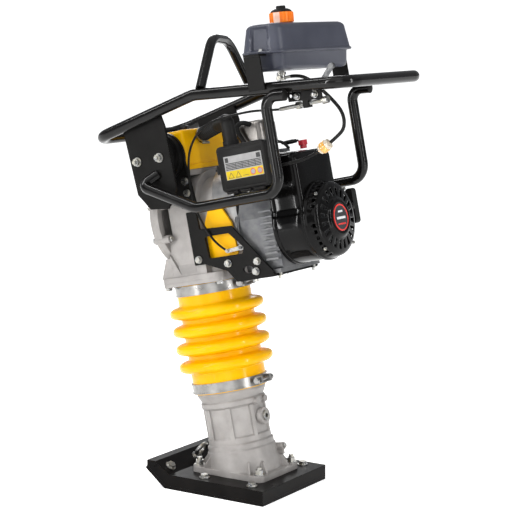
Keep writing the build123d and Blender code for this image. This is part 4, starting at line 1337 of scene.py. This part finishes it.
for share in (0.7, 0.35):
    rows.append(tank_row(last_a * share, last_y * share, 21 * share, 67))
tank = loft("fuel_tank_moulding", place_loops(rows, on_tank), slate)
fit(tank, "handle", "fuel_tank")

# Bolts that hold the tank's lip to the carrying straps, one at each end.
for name, s in (("tank_bolt_left", 1), ("tank_bolt_right", -1)):
    bolt = turned(
        name,
        [(0, 5), (7, 5), (7, 6.4), (4.6, 6.5), (4.6, 10), (4, 10.8), (0, 10.8)],
        lambda a, b, h, s=s: on_tank(a - 4, s * 164 + b, h),
        zinc,
        24,
    )
    fit(bolt, "handle")

# Filler cap: orange ribbed ring, black stepped dome, and a pale strip over the ring that is a painted
# highlight.
orange = patterned(
    "orange moulded plastic",
    "#F27A14",
    0.36,
    (18, ("#EC7410", "#F6831E")),
    (1.2, 0.03),
    Specular_IOR_Level=0.3,
    Subsurface_Weight=0.05,
)
# Painted highlight: a pale orange-white colour for the strip laid over the orange ring.
cap_highlight_paint = patterned("painted highlight strip on cap ring", "#E2B7A2", 0.6, (12, ("#DCAD96", "#EAC8B8")))


def on_cap(a, b, h):
    return on_tank(a, 60 + b, h)


tree, given = shape_tree("cap ribs", Ribs=22, Radius=0.0262, Width=0.0044, Depth=0.0036, Height=0.0225)
spots = add(
    tree, "GeometryNodeMeshCircle", {"Vertices": given.outputs["Ribs"], "Radius": given.outputs["Radius"]}
)
bar_size = add(
    tree,
    "ShaderNodeCombineXYZ",
    {"X": given.outputs["Depth"], "Y": given.outputs["Width"], "Z": given.outputs["Height"]},
)
bar = add(tree, "GeometryNodeMeshCube", {"Size": bar_size.outputs[0]})
outward = add(
    tree,
    "FunctionNodeAlignRotationToVector",
    {"Vector": add(tree, "GeometryNodeInputPosition").outputs[0]},
    axis="X",
    pivot_axis="Z",
)
ribs = add(
    tree,
    "GeometryNodeInstanceOnPoints",
    {"Points": spots.outputs[0], "Instance": bar.outputs[0], "Rotation": outward.outputs[0]},
)
tank_frame = Matrix.Identity(4)
for i, axis in enumerate(((1000, 0, 0), (0, 1000, 0), (0, 0, 1000))):
    tank_frame.col[i] = (*(on_tank(*axis) - on_tank(0, 0, 0)), 0.0)
tank_frame.col[3] = (*on_tank(0, 60, 80.3), 1.0)
cap_ribs = grown("cap_ribs", tree, ribs.outputs[0], orange, placed=tank_frame, Ribs=22)
settle(cap_ribs, kind="BEVEL", width=0.0009, segments=2)
cap_parts = [
    cap_ribs,
    turned(
        "cap_ring", [(0, 68), (25, 68), (26.4, 69), (26.4, 90), (25.2, 92.4), (0, 92.6)], on_cap, orange, 96
    ),
    turned(
        "cap_dome",
        [
            (0, 92),
            (25, 92),
            (24.6, 93.4),
            (23, 95.8),
            (19, 98.6),
            (14, 100.4),
            (11.4, 101),
            (11, 102),
            (11, 105.4),
            (9.6, 107),
            (0, 107.2),
        ],
        on_cap,
        abs_black,
        96,
    ),
]
# The painted highlight strip is turned 26 degrees from the camera's direction, on the side of the cap that
# faces the camera.
strip = []
facing = math.degrees(math.atan2(3.39, -2.245)) - 26
for r in (27.6, 28.2):
    for h in (68.6, 91.8):
        strip.append(
            [
                on_cap(r * math.cos(math.radians(facing + t)), r * math.sin(math.radians(facing + t)), h)
                for t in range(-16, 17, 2)
            ]
        )
outline = [strip[0], strip[1], strip[3], strip[2]]
cap_parts.append(loft("cap_strip", [[row[k] for row in outline] for k in range(len(strip[0]))], cap_highlight_paint))
for part in cap_parts:
    fit(part, "cap", "fuel_cap")
